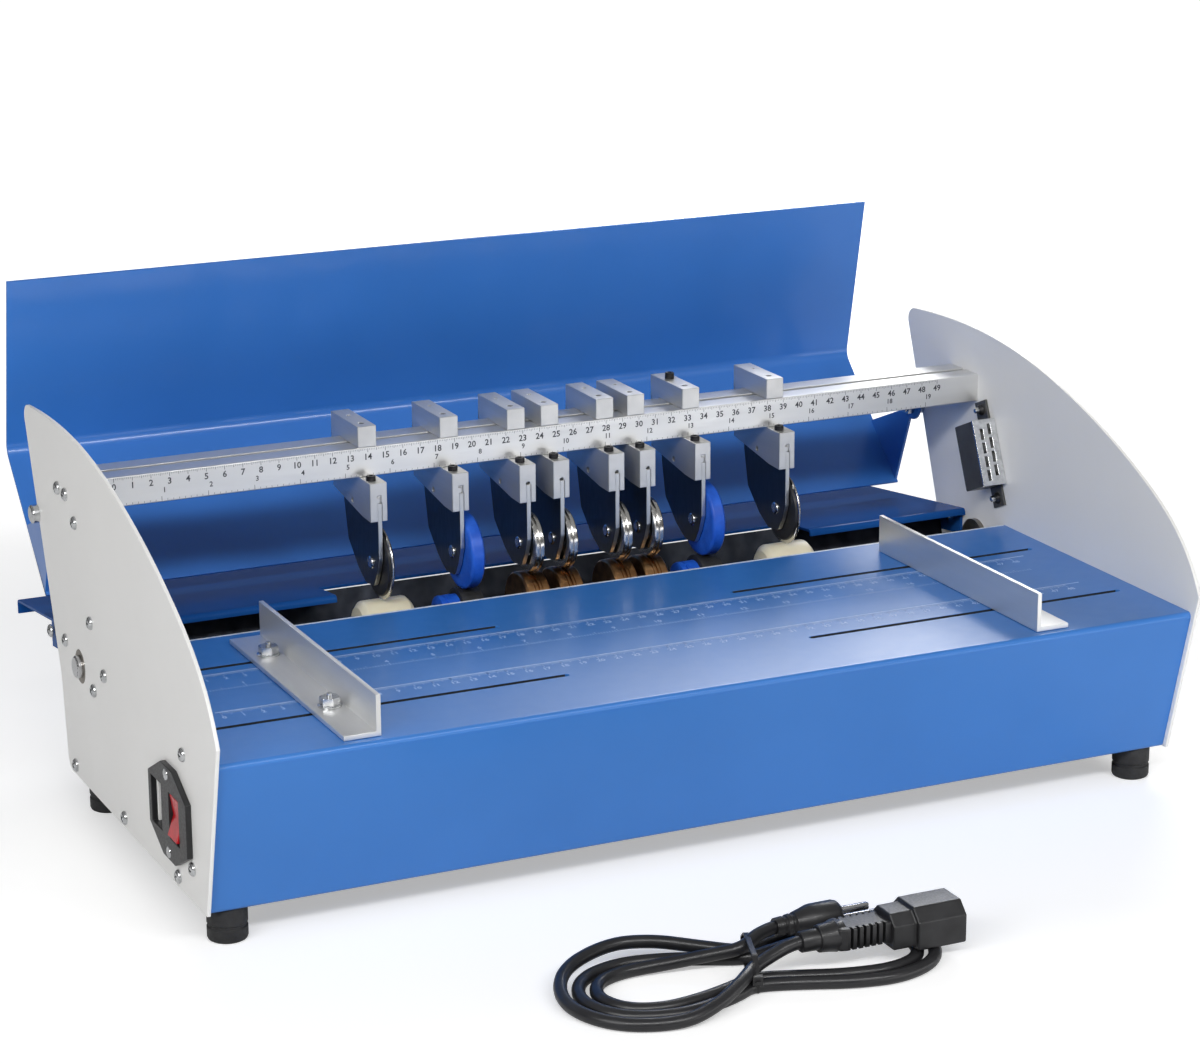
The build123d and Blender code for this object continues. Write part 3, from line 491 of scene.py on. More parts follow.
# ---- Lower rollers and creasing dies ----
# They sit on the lower shaft under their wheels and are locked with a grub screw: ivory nylon
# under the perforating blades, rubber under the feed wheels and brass under the creasing wheels.
def nylon(name, light, dark):
    return finish(name, dark, light, (0.32, 0.46), (12, 3, (0.5, (1, 0.15, 0.15))), 0.02,
                  Subsurface_Weight=0.12, Subsurface_Radius=(0.004, 0.003, 0.002), Subsurface_Scale=0.5)


def on_shaft(node):
    """Where a roller starts along the shaft, and its width and radius in millimetres."""
    low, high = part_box(node)
    return Vector((low.x, shaft_line.y, shaft_line.z)), (high.x - low.x) / mm, (high.z - low.z) / 2 / mm


def mirrored(points, width):
    """A turned outline: its first half, and the same again from its far end."""
    return points + [(width - at, radius) for at, radius in reversed(points)]


def bored_ring(outline_points, bore):
    """Closes a turned outline through its bore."""
    first, last = outline_points[0], outline_points[-1]
    return [(first[0], bore), *outline_points, (last[0], bore), (first[0], bore)]


ivory = nylon("ivory_nylon", (0.86, 0.80, 0.60), (0.80, 0.73, 0.53))
blue_tyre = finish("blue_rubber", (0.008, 0.085, 0.52), (0.020, 0.13, 0.66), (0.34, 0.5),
                   (7, 1.2, 0.25), 0.015)
brass = finish("turned_brass", (0.26, 0.13, 0.055), (0.46, 0.26, 0.12), (0.28, 0.36),
               ((5, (0.3, 1, 1)), (0.6, (1, 0.1, 0.1)), (0.3, (1, 0.05, 0.05))), 0.012, Metallic=1.0)
shaft_low, shaft_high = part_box("lower_shaft")
shaft_line = (shaft_low + shaft_high) / 2
roller_bore = (shaft_high.z - shaft_low.z) / 2 / mm + 0.05
hub = 11.0

for number in (1, 8):
    node = f"nylon_roller_{number}"
    start, width, radius = on_shaft(node)
    shape = mirrored(
        [(0, 9), (0, radius - 3.2), (0.7, radius - 2.4), (2.6, radius - 0.3), (3.6, radius)], width)
    roller = turned(bored_ring(shape, roller_bore), start)
    settled(roller, f"ivory_roller_{number}", ivory, node, "ivory_nylon", node)

for number in (2, 7):
    node = f"feed_roller_{number}"
    start, width, radius = on_shaft(node)
    tread = mirrored([(hub, radius - 1.2), (hub + 0.4, radius - 0.3), (hub + 1.2, radius)], hub + width)
    body = turned(bored_ring([(hub, radius - 3), *tread, (width, radius - 4)], roller_bore), start)
    settled(body, f"feed_roller_tyre_{number}", rubber, node, "black_rubber", node)
    shape = [(0, radius - 4.4), (0.6, radius - 3.3), (1.6, radius - 3), (3, radius - 3), (3.3, radius - 3.6),
             (3.9, radius - 3.6), (4.2, radius - 3), (hub, radius - 3)]
    sleeve = turned(bored_ring(shape, roller_bore), start)
    settled(sleeve, f"feed_roller_hub_{number}", blue_tyre, node, "blue_rubber")

for number in (3, 4, 5, 6):
    node = f"creasing_die_{number}"
    start, width, radius = on_shaft(node)
    middle = width / 2
    shape = mirrored(
        [(0, radius - 3), (0, radius - 0.9), (0.9, radius), (middle - 2.6, radius),
         (middle - 2.3, radius - 0.5), (middle - 1.9, radius - 0.5), (middle - 1.6, radius),
         (middle - 0.8, radius), (middle - 0.8, radius - 1.2)], width)
    die = turned(bored_ring(shape, roller_bore), start)
    settled(die, f"brass_die_{number}", brass, node, "die_brass", node)


# ---- Carriers ----
# Eight clamps milled from square aluminium bar. Each rides on the beam, is fixed by a screw in its
# T-slot, and has a jaw below that grips a steel arm with a black cap screw.
def prism(points, low, high, axis="X"):
    """A flat shape drawn in y and z, or in x and y, carried along the other axis, in millimetres."""
    bpy.ops.object.select_all(action="DESELECT")
    mesh = bpy.data.meshes.new("prism")
    corners = [(low, u, v) if axis == "X" else (u, v, low) for u, v in points]
    mesh.from_pydata([Vector(c) * mm for c in corners], [], [range(len(corners))])
    piece = bpy.data.objects.new("prism", mesh)
    bpy.context.collection.objects.link(piece)
    piece.select_set(True)
    bpy.context.view_layer.objects.active = piece
    along = Vector((1, 0, 0)) if axis == "X" else Vector((0, 0, 1))
    bpy.ops.object.mode_set(mode="EDIT")
    bpy.ops.mesh.select_all(action="SELECT")
    bpy.ops.mesh.extrude_region_move(TRANSFORM_OT_translate={"value": along * (high - low) * mm})
    bpy.ops.mesh.select_all(action="SELECT")
    bpy.ops.mesh.normals_make_consistent(inside=False)
    bpy.ops.object.mode_set(mode="OBJECT")
    return piece


def combined(piece, tools, way="DIFFERENCE"):
    """Cuts the tools out of a piece, or melts them into it; the tools go."""
    bpy.context.view_layer.objects.active = piece
    for tool in tools:
        worked(piece, "BOOLEAN", operation=way, solver="EXACT", object=tool)
        bpy.data.objects.remove(tool)
    return piece


def cap_screw(place, radius, height):
    """A socket cap screw that stands on z, its shank sunk below."""
    shank = radius * 0.56
    head = turned([(-6, shank), (0, shank), (0, radius), (height - 0.3, radius), (height, radius - 0.3)],
                  place, "Z", 32)
    socket = turned([(height - 1.5, radius * 0.5), (height + 1, radius * 0.5)], place, "Z", 6)
    return combined(head, [socket])


blackened = finish("black_oxide", (0.012, 0.012, 0.014), (0.035, 0.035, 0.038), (0.3, 0.48), (3, 0.8),
                   Metallic=0.6)
milled_aluminium = anodised_aluminium(
    "milled_aluminium", (0.66, 0.655, 0.64), (0.57, 0.57, 0.56), (1, 0.05, 1))
beam_back_y = beam_high.y / mm
seat_z = top_z + 0.1
carrier_low, carrier_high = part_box("carrier_1")
clamp_back, clamp_high = carrier_high.y / mm, carrier_high.z / mm
jaw_front, jaw_low = carrier_low.y / mm, carrier_low.z / mm
jaw_high = low_z - 0.1
clamp_half, jaw_half = 5.25, 4.8
arm_aside, arm_thick = 0.7, 2.5


def clamp(x, kind):
    """A carrier's body: a top on the beam, a leg behind it and a jaw with the arm's slot."""
    x0, x1 = x - clamp_half, x + clamp_half
    top = block_between((x0, face_y, seat_z), (x1, clamp_back, clamp_high))
    leg = block_between((x0, beam_back_y + 0.1, jaw_high - 6), (x1, clamp_back, seat_z + 1))
    side = [(jaw_front, jaw_low), (jaw_front + 14, jaw_low + 0.6), (clamp_back, jaw_low + 7),
            (clamp_back, jaw_high), (jaw_front, jaw_high)]
    body = combined(top, [leg, prism(side, x - jaw_half, x + jaw_half)], "UNION")
    slot_x0, slot_x1 = x + arm_aside - arm_thick / 2, x + arm_aside + arm_thick / 2
    cuts = [
        block_between((slot_x0, jaw_front - 1, jaw_low - 1), (slot_x1, clamp_back + 1, jaw_low + 10)),
        turned([(-20, 1.5), (20, 1.5)], Vector((x, face_y + 12, jaw_low + 6)) * mm),
        turned([(clamp_high - 4, 1.6), (clamp_high + 1, 1.6)], Vector((x, face_y + 8, 0)) * mm, "Z"),
        turned([(clamp_high - 2, 1.0), (clamp_high + 1, 1.0)], Vector((x, face_y + 27, 0)) * mm, "Z"),
    ]
    front = jaw_front - 1
    if kind == "creasing":
        hole = turned([(0, 1.1), (4, 1.1)], (0, 0, 0), "Z")
        lay = Matrix.Translation(Vector((x + 0.2, front, jaw_low + 10.6)) * mm)
        hole.data.transform(lay @ Matrix.Rotation(math.radians(-90), 4, "X"))
        cuts.append(hole)
    else:
        cuts += [
            block_between((x + 0.4, front, jaw_low + 9), (x + 1.5, jaw_front + 1.2, jaw_low + 14)),
            block_between((x - 1.0, front, jaw_low + 13.2), (x + 1.5, jaw_front + 1.2, jaw_low + 14.3)),
        ]
    combined(body, cuts)
    break_edges(body, 0.35)
    return body


def slot_screw(x):
    """The dark head of the T-slot screw, sunk in the front of the clamp's top."""
    return turned([(clamp_high - 3.2, 1.55), (clamp_high - 0.4, 1.55), (clamp_high - 0.15, 1.2)],
                  Vector((x, face_y + 8, 0)) * mm, "Z", 32)


kinds = ["perforating", "feed"] + ["creasing"] * 4 + ["feed", "perforating"]
carrier_middle = {}
for number, kind in enumerate(kinds, start=1):
    node = f"carrier_{number}"
    low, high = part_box(node)
    x = (low.x + high.x) / 2 / mm
    carrier_middle[number] = x
    settled(clamp(x, kind), f"clamp_{number}", milled_aluminium, node, "aluminium", node)
    screws = [cap_screw(Vector((x - 1.5, jaw_front + 7, jaw_high)) * mm, 2.6, 2.6), slot_screw(x)]
    if number == 7:
        screws.append(cap_screw(Vector((x, face_y + 27, clamp_high)) * mm, 2.6, 3.4))
    settled(joined(screws), f"clamp_screws_{number}", blackened, node, "screw_steel")


# ---- Wheel arms ----
# Laser-cut steel plates, dark on their faces and bright on their edges. Each narrows to an axle that
# is riveted through it.
def facing_along_x(material):
    """A pattern that is 1 on faces that look along x, and 0 on edges."""
    nodes, links = material.node_tree.nodes, material.node_tree.links
    facing, size = nodes.new("ShaderNodeSeparateXYZ"), nodes.new("ShaderNodeMath")
    size.operation = "ABSOLUTE"
    links.new(nodes.new("ShaderNodeTexCoord").outputs["Normal"], facing.inputs["Vector"])
    links.new(facing.outputs["X"], size.inputs[0])
    return size.outputs[0]


def rounded(corners, radius, steps=5):
    """The outline through some (y, z) corners, each rounded to its radius."""
    points = []
    for number, corner in enumerate(corners):
        here = Vector(corner)
        before, after = Vector(corners[number - 1]), Vector(corners[(number + 1) % len(corners)])
        into, out = (before - here).normalized(), (after - here).normalized()
        half = into.angle(out) / 2
        size = radius[number] if isinstance(radius, list) else radius
        if size == 0:
            points.append(here)
            continue
        middle = here + (into + out).normalized() * size / math.sin(half)
        start = here + into * size / math.tan(half) - middle
        end = here + out * size / math.tan(half) - middle
        turn = start.angle_signed(end)
        for step in range(steps + 1):
            angle = -turn * step / steps
            spoke = Matrix.Rotation(angle, 2) @ start
            points.append(middle + spoke)
    return [tuple(p) for p in points]


bright_edge, dark_face = (0.62, 0.62, 0.60), (0.13, 0.135, 0.13)
arm_steel = finish("plate_steel", bright_edge, dark_face, (0.28, 0.42),
                   (facing_along_x, (1.2, (1, 1, 0.15)), 0.6), 0.012, Metallic=1.0)
axle_y = shaft_line.y / mm
axle_z = 118.5
wheel_width = {"perforating": 3.4, "feed": 8.0, "creasing": 5.4}
arm_corners = [
    (jaw_front + 0.5, jaw_low + 9.9), (jaw_front + 0.5, axle_z + 4.5), (jaw_front + 4, axle_z - 4.5),
    (axle_y - 3, axle_z - 12.5), (axle_y + 9, axle_z - 13.5), (axle_y + 20, axle_z - 7.5),
    (69, axle_z + 5), (74, jaw_low), (74, jaw_low + 9.9)]
arm_rounds = [0, 3.5, 3.5, 3.5, 3.5, 3.5, 3.5, 2, 0]
for number, kind in enumerate(kinds, start=1):
    body = f"carrier_{number}"
    face = carrier_middle[number] + arm_aside + arm_thick / 2
    plate = prism(rounded(arm_corners, arm_rounds), face - arm_thick, face)
    break_edges(plate, 0.25)
    settled(plate, f"arm_plate_{number}", arm_steel, body, "ground_steel", f"wheel_arm_{number}")
    end = face + 0.5 + wheel_width[kind]
    middle = Vector((0, axle_y, axle_z)) * mm
    axle = turned(
        [(face, 4.6), (face + 0.4, 5), (face + 0.4, 3), (end + 0.3, 3), (end + 0.3, 5), (end + 2.4, 5),
         (end + 2.9, 4.4), (end + 2.9, 2.6), (end + 2.5, 2.0)], middle)
    back = face - arm_thick
    rivet = turned([(back - 1.2, 2.0), (back - 1.2, 2.6), (back - 0.8, 3.4), (back - 0.4, 3.6),
                    (back + 0.1, 3.6)], middle)
    settled(joined([axle, rivet]), f"riveted_axle_{number}", ground_steel, body, "ground_steel")


# ---- Upper wheels ----
# Each turns on its axle, driven by the roller under it. The outer two are toothed perforating blades
# between black flanges, then come two blue rubber feed wheels, and four ground creasing wheels.
def wheel_seat(node):
    """The start of a wheel along x, on its axle, and its width in millimetres."""
    low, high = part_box(node)
    return Vector((low.x, axle_y * mm, axle_z * mm)), (high.x - low.x) / mm


def toothed(piece, middle, count, depth, from_radius):
    """Sinks every other tooth of a rim that has two corners to a tooth."""
    for corner in piece.data.vertices:
        spoke = (corner.co - Vector(middle)) / mm
        spoke.x = 0
        if spoke.length > from_radius:
            place = math.atan2(spoke.z, spoke.y) / (2 * math.pi) * count * 2
            if round(place) % 2:
                corner.co -= spoke.normalized() * depth * mm
    return piece


plastic = finish("black_plastic", (0.012, 0.012, 0.013), (0.022, 0.022, 0.024), (0.3, 0.46),
                 (10, 1.0, 0.3), 0.02)
hard_steel = steel("hard_steel", (0.72, 0.71, 0.69), (0.58, 0.57, 0.55), (0.12, 0.26), (1, 0.06, 0.06))
axle_bore = 3.05
teeth = 72

for number in (1, 8):
    node = f"perforating_wheel_{number}"
    start, width = wheel_seat(node)
    half = width / 2
    rim = mirrored([(half - 0.5, 14), (half - 0.5, 20.4), (half - 0.12, 21)], width)
    blade = toothed(turned(rim, start, "X", 2 * teeth), start, teeth, 0.8, 20.7)
    settled(blade, f"perforating_blade_{number}", hard_steel, node, "ground_steel")
    rim = mirrored([(0, 18.2), (0.6, 18.8), (half - 0.45, 18.8)], width)
    shape = [(0, 6), *rim, (width, 12), (width - 0.7, 11.5), (width - 0.7, 7.6), (width, 7)]
    flanges = turned(bored_ring(shape, axle_bore), start)
    settled(flanges, f"blade_flanges_{number}", plastic, node, "black_plastic", node)

for number in (2, 7):
    node = f"feed_wheel_{number}"
    start, width = wheel_seat(node)
    rim = mirrored([(0, 18.6), (0.4, 20.2), (1.3, 20.95)], width)
    shape = [(0, 13), *rim, (width, 15.4), (width - 2, 15), (width - 2, 7.2), (width, 7)]
    tyre = turned(bored_ring(shape, axle_bore), start, "X", 2 * teeth)
    toothed(tyre, start, teeth, 0.35, 20.5)
    settled(tyre, f"feed_tyre_{number}", blue_tyre, node, "blue_rubber", node)

for number in (3, 4, 5, 6):
    node = f"creasing_wheel_{number}"
    start, width = wheel_seat(node)
    half = width / 2
    shape = mirrored([(0, 8), (0.5, 8.4), (0.5, 12.6), (0, 13), (0, 16.2), (0.6, 16.8),
                      (half - 0.6, 16.8), (half - 0.35, 18)], width)
    wheel = turned(bored_ring(shape, axle_bore), start, "X", 96)
    settled(wheel, f"crease_ring_{number}", hard_steel, node, "ground_steel", node)


# ---- Drive ----
# A geared motor on a folded bracket stands on the pan, and a belt takes its turning to the lower
# shaft by way of two flanged pulleys.
can_steel = finish("spun_can", (0.34, 0.35, 0.37), (0.48, 0.49, 0.50), (0.3, 0.45),
                   (16, (1.4, (0.1, 1, 1))), Metallic=1.0)
motor_low, motor_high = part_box("drive_motor")
motor_middle = (motor_low + motor_high) / 2
motor_middle.x = motor_low.x
gear_length = 30.0
motor_length = (motor_high.x - motor_low.x) / mm
motor = turned(
    [(0.0, 3.2), (0.0, 24), (1.0, 25), (9, 25), (9.3, 24.6), (9.7, 24.6), (10, 25), (19, 25), (19.3, 24.6),
     (19.7, 24.6), (20, 25), (gear_length - 1, 25), (gear_length, 24.4), (gear_length, 22),
     (motor_length - 3, 22), (motor_length - 1, 21.2), (motor_length, 19.2), (motor_length, 7),
     (motor_length - 0.6, 6.6), (motor_length - 0.6, 0.5)], motor_middle, "X", 96)
bolts, bolt_circle = [], 19 * mm
for corner in range(4):
    angle = math.radians(45 + 90 * corner)
    aside = Vector((-1.5 * mm, bolt_circle * math.cos(angle), bolt_circle * math.sin(angle)))
    bolts.append(turned([(0, 2.2), (0.3, 2.6), (3, 2.6)], motor_middle + aside, "X", 24))
settled(motor, "geared_motor", can_steel, "frame", "motor_steel", "drive_motor")
settled(joined(bolts), "gearbox_bolts", blackened, "frame", "screw_steel")
dressed("motor_bracket", zinc, 0.25)
dressed("motor_pulley", satin_aluminium, 0.2)
dressed("shaft_pulley", satin_aluminium, 0.2)
dressed("drive_belt", rubber, 0.2)


# ---- Deck ----
# One steel sheet folded into the front of the case and the paper table, powder-coated blue, with
# two printed rulers. A pale strip along its rear fold is a painted highlight, and fences slide in its
# four slots, whose rear walls carry black strips of painted shade.
def blue_coat(name, light, dark, rough, coat, shine=0.5):
    """Blue powder coat with a faint orange peel under a smooth skin."""
    return finish(name, dark, light, rough, (60, 9, (3.2, (1, 1, 1), 0)), 0.006,
                  Coat_Weight=coat, Coat_Roughness=0.12, Specular_IOR_Level=shine)


def deck_scale(line_y, way, gap, ticks, step, count, away):
    """Rows of ticks that stand off a line towards one way, and a figure at each step beyond them."""
    rows = []
    for tick_step, thick, reach, tick_count in ticks:
        near, far = sorted((line_y + way * gap, line_y + way * reach))
        rows.append(tick_row((scale_start - thick, near, print_low), (scale_start + thick, far, print_high),
                             tick_step, tick_count))
    marks = [(str(n), scale_start + step * n, line_y + way * away, deck_top) for n in range(count)]
    return rows + [figures(marks, deck_figures, False)]


case_blue = blue_coat("case_blue", (0.040, 0.200, 0.600), (0.036, 0.188, 0.570), (0.35, 0.39), 0.2)
pale_ink = printed("pale_ink", (0.30, 0.46, 0.80), (0.46, 0.60, 0.88))
# The pale colour of the painted highlight along the deck's rear fold.
painted_highlight_ink = printed("painted_highlight_ink", (0.62, 0.70, 0.84), (0.90, 0.93, 0.97))
dressed("base_deck", case_blue, 0.12)
sheet = 1.5
panel_inside = 269.5
deck_top, deck_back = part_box("base_deck")[1].z / mm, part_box("base_deck")[1].y / mm
print_low, print_high = deck_top - 0.02, deck_top + print_depth
line_end = 246.0
scale_start = 2 - line_end
deck_figures = 3.2
# step, half a tick's width, its reach and the number of ticks
centimetre_ticks = [(1, 0.16, 3.0, 481), (5, 0.2, 4.2, 97), (10, 0.24, 5.4, 49)]
inch_ticks = [(inch / 16, 0.18, 2.2, 303), (inch / 2, 0.22, 3.6, 38)]


def ruled_line(line_y):
    """A printed line with a centimetre scale in front of it."""
    line = block_between((-line_end, line_y - 0.5, print_low), (line_end, line_y + 0.5, print_high))
    return [line, *deck_scale(line_y, -1, 0.4, centimetre_ticks, 10, 49, 8.2)]


rulers = joined(ruled_line(-53) + deck_scale(-78, 1, 0, inch_ticks, inch, 19, 6.4) + ruled_line(-109))
settled(rulers, "deck_rulers", pale_ink, "frame", "blue_powder_coat")
fold_end = panel_inside - 1.0
# A pale strip along the deck's rear fold: a painted highlight.
painted_highlight_strip = block_between(
    (-fold_end, deck_back - 3.4, deck_top - 0.3), (fold_end, deck_back - 1.6, print_high))
settled(painted_highlight_strip, "painted_highlight_strip", painted_highlight_ink, "frame", "blue_powder_coat")
slots = [(-258.0, -68.0), (68.0, 258.0)]
# Black strips on the slots' rear walls that stand in for their shade: painted shade.
painted_shade_strips = [
    block_between((x0 + 1.7, y + 1.55, deck_top - 1.45), (x1 - 1.7, y + 1.7, deck_top - 0.12))
    for x0, x1 in slots for y in (-131, -43)
]
settled(joined(painted_shade_strips), "slot_shade_strips", rubber, "frame", "black_rubber")


# ---- Fences ----
# Two lengths of aluminium angle that guide the paper. Each slides along its slots and is held by
# two bolts with washers and hexagon nuts, zinc-plated.
fence_aluminium = anodised_aluminium(
    "fence_aluminium", (0.84, 0.84, 0.83), (0.78, 0.78, 0.77), (1, 0.03, 1))
bolt_zinc = steel("bolt_zinc", (0.70, 0.71, 0.72), (0.50, 0.51, 0.52), (0.18, 0.27), spot=3)
fence_seat = 2.7        # the fence's own sheet and the play under it


def fence_bolt(low, high):
    """Nut and washer on the fence, shank through the slot, washer and round head under the deck."""
    x, y = (low.x + high.x) / 2 / mm, (low.y + high.y) / 2 / mm
    place = Vector((x, y, 0)) * mm
    foot, tip = low.z / mm, high.z / mm
    seat, under = deck_top + fence_seat, deck_top - sheet - 0.3
    shank = turned([(foot + 0.4, 1.4), (tip - 0.3, 1.4), (tip, 1.1)], place, "Z", 32)
    rim = [(seat, 5.6), (seat + 0.2, 6.0), (seat + 0.8, 6.0), (seat + 1.0, 5.7)]
    washer = turned(bored_ring(rim, 1.5), place, "Z", 48)
    nut = turned([(seat + 1.0, 5.2), (seat + 5.0, 5.2)], place, "Z", 6)
    rim = [(seat + 0.6, 5.0), (seat + 1.4, 5.5), (seat + 4.5, 5.5), (seat + 5.2, 4.5)]
    cone = turned(rim, place, "Z", 48)
    combined(nut, [cone], "INTERSECT")
    break_edges(nut, 0.15)
    low_washer = turned(bored_ring([(under - 1.0, 5.0), (under, 5.0)], 1.5), place, "Z", 48)
    head = turned([(foot, 2.2), (foot + 0.4, 2.8), (foot + 1.0, 3.0), (under - 1.0, 3.0)], place, "Z", 32)
    return joined([shank, washer, nut, low_washer, head])


for side in ("left", "right"):
    dressed(f"{side}_fence", fence_aluminium, 0.25)
    node = f"{side}_fence_bolts"
    pair = joined([fence_bolt(low, high) for low, high in solids_of(node)])
    settled(pair, f"{side}_fence_nuts", bolt_zinc, f"{side}_fence", "screw_steel", node)


# ---- Exit tray ----
# A folded blue sheet behind the wheels, glossier than the case and screwed between the panels. Its blue
# is darker than the case's as painted shade. Creased paper slides out over it.
# The tray's blue is darkened as painted shade of the space under the beam.
tray_blue_painted_shade = blue_coat("tray_blue_painted_shade", (0.012, 0.085, 0.320), (0.010, 0.078, 0.300), (0.14, 0.17), 0.0, 0.04)
dressed("exit_tray", tray_blue_painted_shade, 0.12)


# ---- Cover ----
# A long and a short leaf of blue sheet, bent as one, with a welded ear at each end. It tips up and
# back on two shoulder screws.
cover_blue = blue_coat("cover_blue", (0.040, 0.185, 0.590), (0.036, 0.174, 0.560), (0.285, 0.31), 0.35, 0.4)
cover_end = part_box("cover")[1].x / mm
cover_top, cover_bend, cover_lip = Vector((166.7, 262.0)), Vector((186.9, 162.9)), Vector((120.0, 97.0))
pivot_y, pivot_z = 102.0, 149.0
bend_radius = 9.0


def inner_line():
    """The front face of the two leaves: the back face's three corners moved in by the sheet."""
    up = (cover_top - cover_bend).normalized()
    down = (cover_lip - cover_bend).normalized()
    half = up.angle(down) / 2
    in_up, in_down = Vector((up.y, -up.x)) * -1, Vector((down.y, -down.x))
    middle = (up + down).normalized() * sheet / math.sin(half)
    return cover_top + in_up * sheet, cover_bend + middle, cover_lip + in_down * sheet


inner_top, inner_bend, inner_lip = inner_line()
leaves = prism(rounded([cover_top, cover_bend, cover_lip, inner_lip, inner_bend, inner_top],
                       [0, bend_radius + sheet, 0, 0, bend_radius, 0], 14), -cover_end, cover_end)
root = cover_lip.lerp(cover_bend, 0.48)
ears = []
for side in (-1, 1):
    x0, x1 = sorted((side * cover_end, side * (cover_end - sheet)))
    pivot = Vector((0, pivot_y, pivot_z)) * mm
    ear = prism([cover_lip + Vector((1, 1)), root, (pivot_y, pivot_z)], x0, x1)
    boss = turned([(x0, 8), (x1, 8)], pivot)
    bore = turned([(x0 - 1, 3.05), (x1 + 1, 3.05)], pivot)
    ears.append(combined(combined(ear, [boss], "UNION"), [bore]))
cover_sheet = combined(leaves, ears, "UNION")
break_edges(cover_sheet, 0.2)
settled(cover_sheet, "cover_sheet", cover_blue, "cover", "blue_powder_coat", "cover")
dressed("cover_pivots", bolt_zinc, 0.25)


# ---- Power inlet and switch ----
# A black moulded inlet, screwed to the left panel above and below, with a three-pin socket and a
# red rocker that tips on a pin.
red = finish("glossy_red", (0.46, 0.006, 0.012), (0.56, 0.012, 0.020), (0.16, 0.26), (5, 1),
             Subsurface_Weight=0.1, Subsurface_Radius=(0.003, 0.0006, 0.0006))
dressed("power_inlet", plastic, 0.4)
dressed("rocker_switch", red, 0.5)
inlet_low, inlet_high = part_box("power_inlet")
inlet_face = inlet_low.x / mm
inlet_y, inlet_z = (inlet_low.y + inlet_high.y) / 2 / mm, (inlet_low.z + inlet_high.z) / 2 / mm
socket_y = inlet_y + 17
socket_pins = joined([
    block_between((inlet_face + 3.6, socket_y + dy - 2.05, inlet_z + dz - 1.05),
                  (inlet_face + 17.6, socket_y + dy + 2.05, inlet_z + dz + 1.05))
    for dy, dz in ((2.0, 7.0), (-2.0, 0.0), (2.0, -7.0))
])
break_edges(socket_pins, 0.3)
settled(socket_pins, "socket_pins", ground_steel, "frame", "ground_steel")
plate_screws = [
    turned([(-0.9, 0.5), (-0.9, 1.6), (-0.4, 2.8), (0.2, 3.1), (2.5, 3.1)],
           Vector((inlet_face, inlet_y, inlet_z + end * 20)) * mm, "X", 32)
    for end in (-1, 1)
]
settled(joined(plate_screws), "inlet_screws", bolt_zinc, "frame", "screw_steel")


# ---- Magnetic catches ----
# Two bought catches, screwed inside the panels at the slant of the open cover's edge: a dark moulded
# case with a slotted steel keeper plate on its front.
catch_y, catch_z, catch_lean = 21.1, 138.0, 23.0
keeper_reach = 15.3
dark_plastic = nylon("dark_plastic", (0.075, 0.075, 0.072), (0.055, 0.055, 0.053))
dressed("magnetic_catches", dark_plastic, 0.3)
lean_turn = (Matrix.Translation(Vector((0, catch_y, catch_z)) * mm)
             @ Matrix.Rotation(math.radians(-catch_lean), 4, "X"))
keepers, catch_heads = [], []
for side in (-1, 1):
    x0, x1 = sorted((side * (panel_inside - 0.2), side * (panel_inside - keeper_reach)))
    keeper = block_between((x0, -11.0, -19.3), (x1, -9.4, 19.3))
    cuts = []
    for column in (-2.6, 2.6):
        for row in (-12, -4, 4, 12):
            x, z = (x0 + x1) / 2 + column, row + column * 0.5
            cuts.append(block_between((x - 1.0, -12, z - 3.1), (x + 1.0, -8, z + 3.1)))
    combined(keeper, cuts)
    break_edges(keeper, 0.3)
    keeper.data.transform(lean_turn)
    keepers.append(keeper)
    for end in (-1, 1):
        inner = side * (panel_inside - sheet)
        head = turned([(0, 3.4), (1.0, 3.2), (1.9, 2.2), (1.9, 0.6)], (0, 0, 0), "X", 32)
        aside = Matrix.Rotation(math.radians(180 if side > 0 else 0), 4, "Z")
        head.data.transform(lean_turn @ Matrix.Translation(Vector((inner, 0, end * 26)) * mm) @ aside)
        catch_heads.append(head)
settled(joined(keepers), "keeper_plates", bolt_zinc, "frame", "screw_steel")
settled(joined(catch_heads), "catch_screw_nuts", blackened, "frame", "screw_steel")


# ---- Panel screws ----
# The same round-headed cross-recessed screw twenty-six times. They go in last, from outside, and
# draw the panels against the beam, the deck, the tray, the pan and the tie rod.
def round_head_screw():
    """The head, its shank and the cross sunk in it, along x from the panel's face."""
    head = turned([(-8, 1.2), (-7.6, 1.7), (0, 1.7), (0, 3.5), (0.5, 3.6), (1.2, 3.3), (1.8, 2.6),
                   (2.15, 1.4), (2.2, 0.3)], (0, 0, 0), "X", 40)
    cross = [block_between((1.1, -a, -b), (3, a, b)) for a, b in ((0.45, 2.0), (2.0, 0.45))]
    return combined(head, cross)


panel_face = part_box("right_side_panel")[1].x
places = []
for low, high in solids_of("panel_screws"):
    middle = (low + high) / 2
    left = middle.x < 0
    turn = Matrix.Rotation(math.radians(180 if left else 0), 4, "Z")
    twist = Matrix.Rotation(middle.y * 40 + middle.z * 25, 4, "X")
    spot = Matrix.Translation((-panel_face if left else panel_face, middle.y, middle.z))
    places.append(spot @ turn @ twist)
screw_set = copied(round_head_screw(), places)
settled(screw_set, "round_head_screws", bolt_zinc, "frame", "screw_steel", "panel_screws")


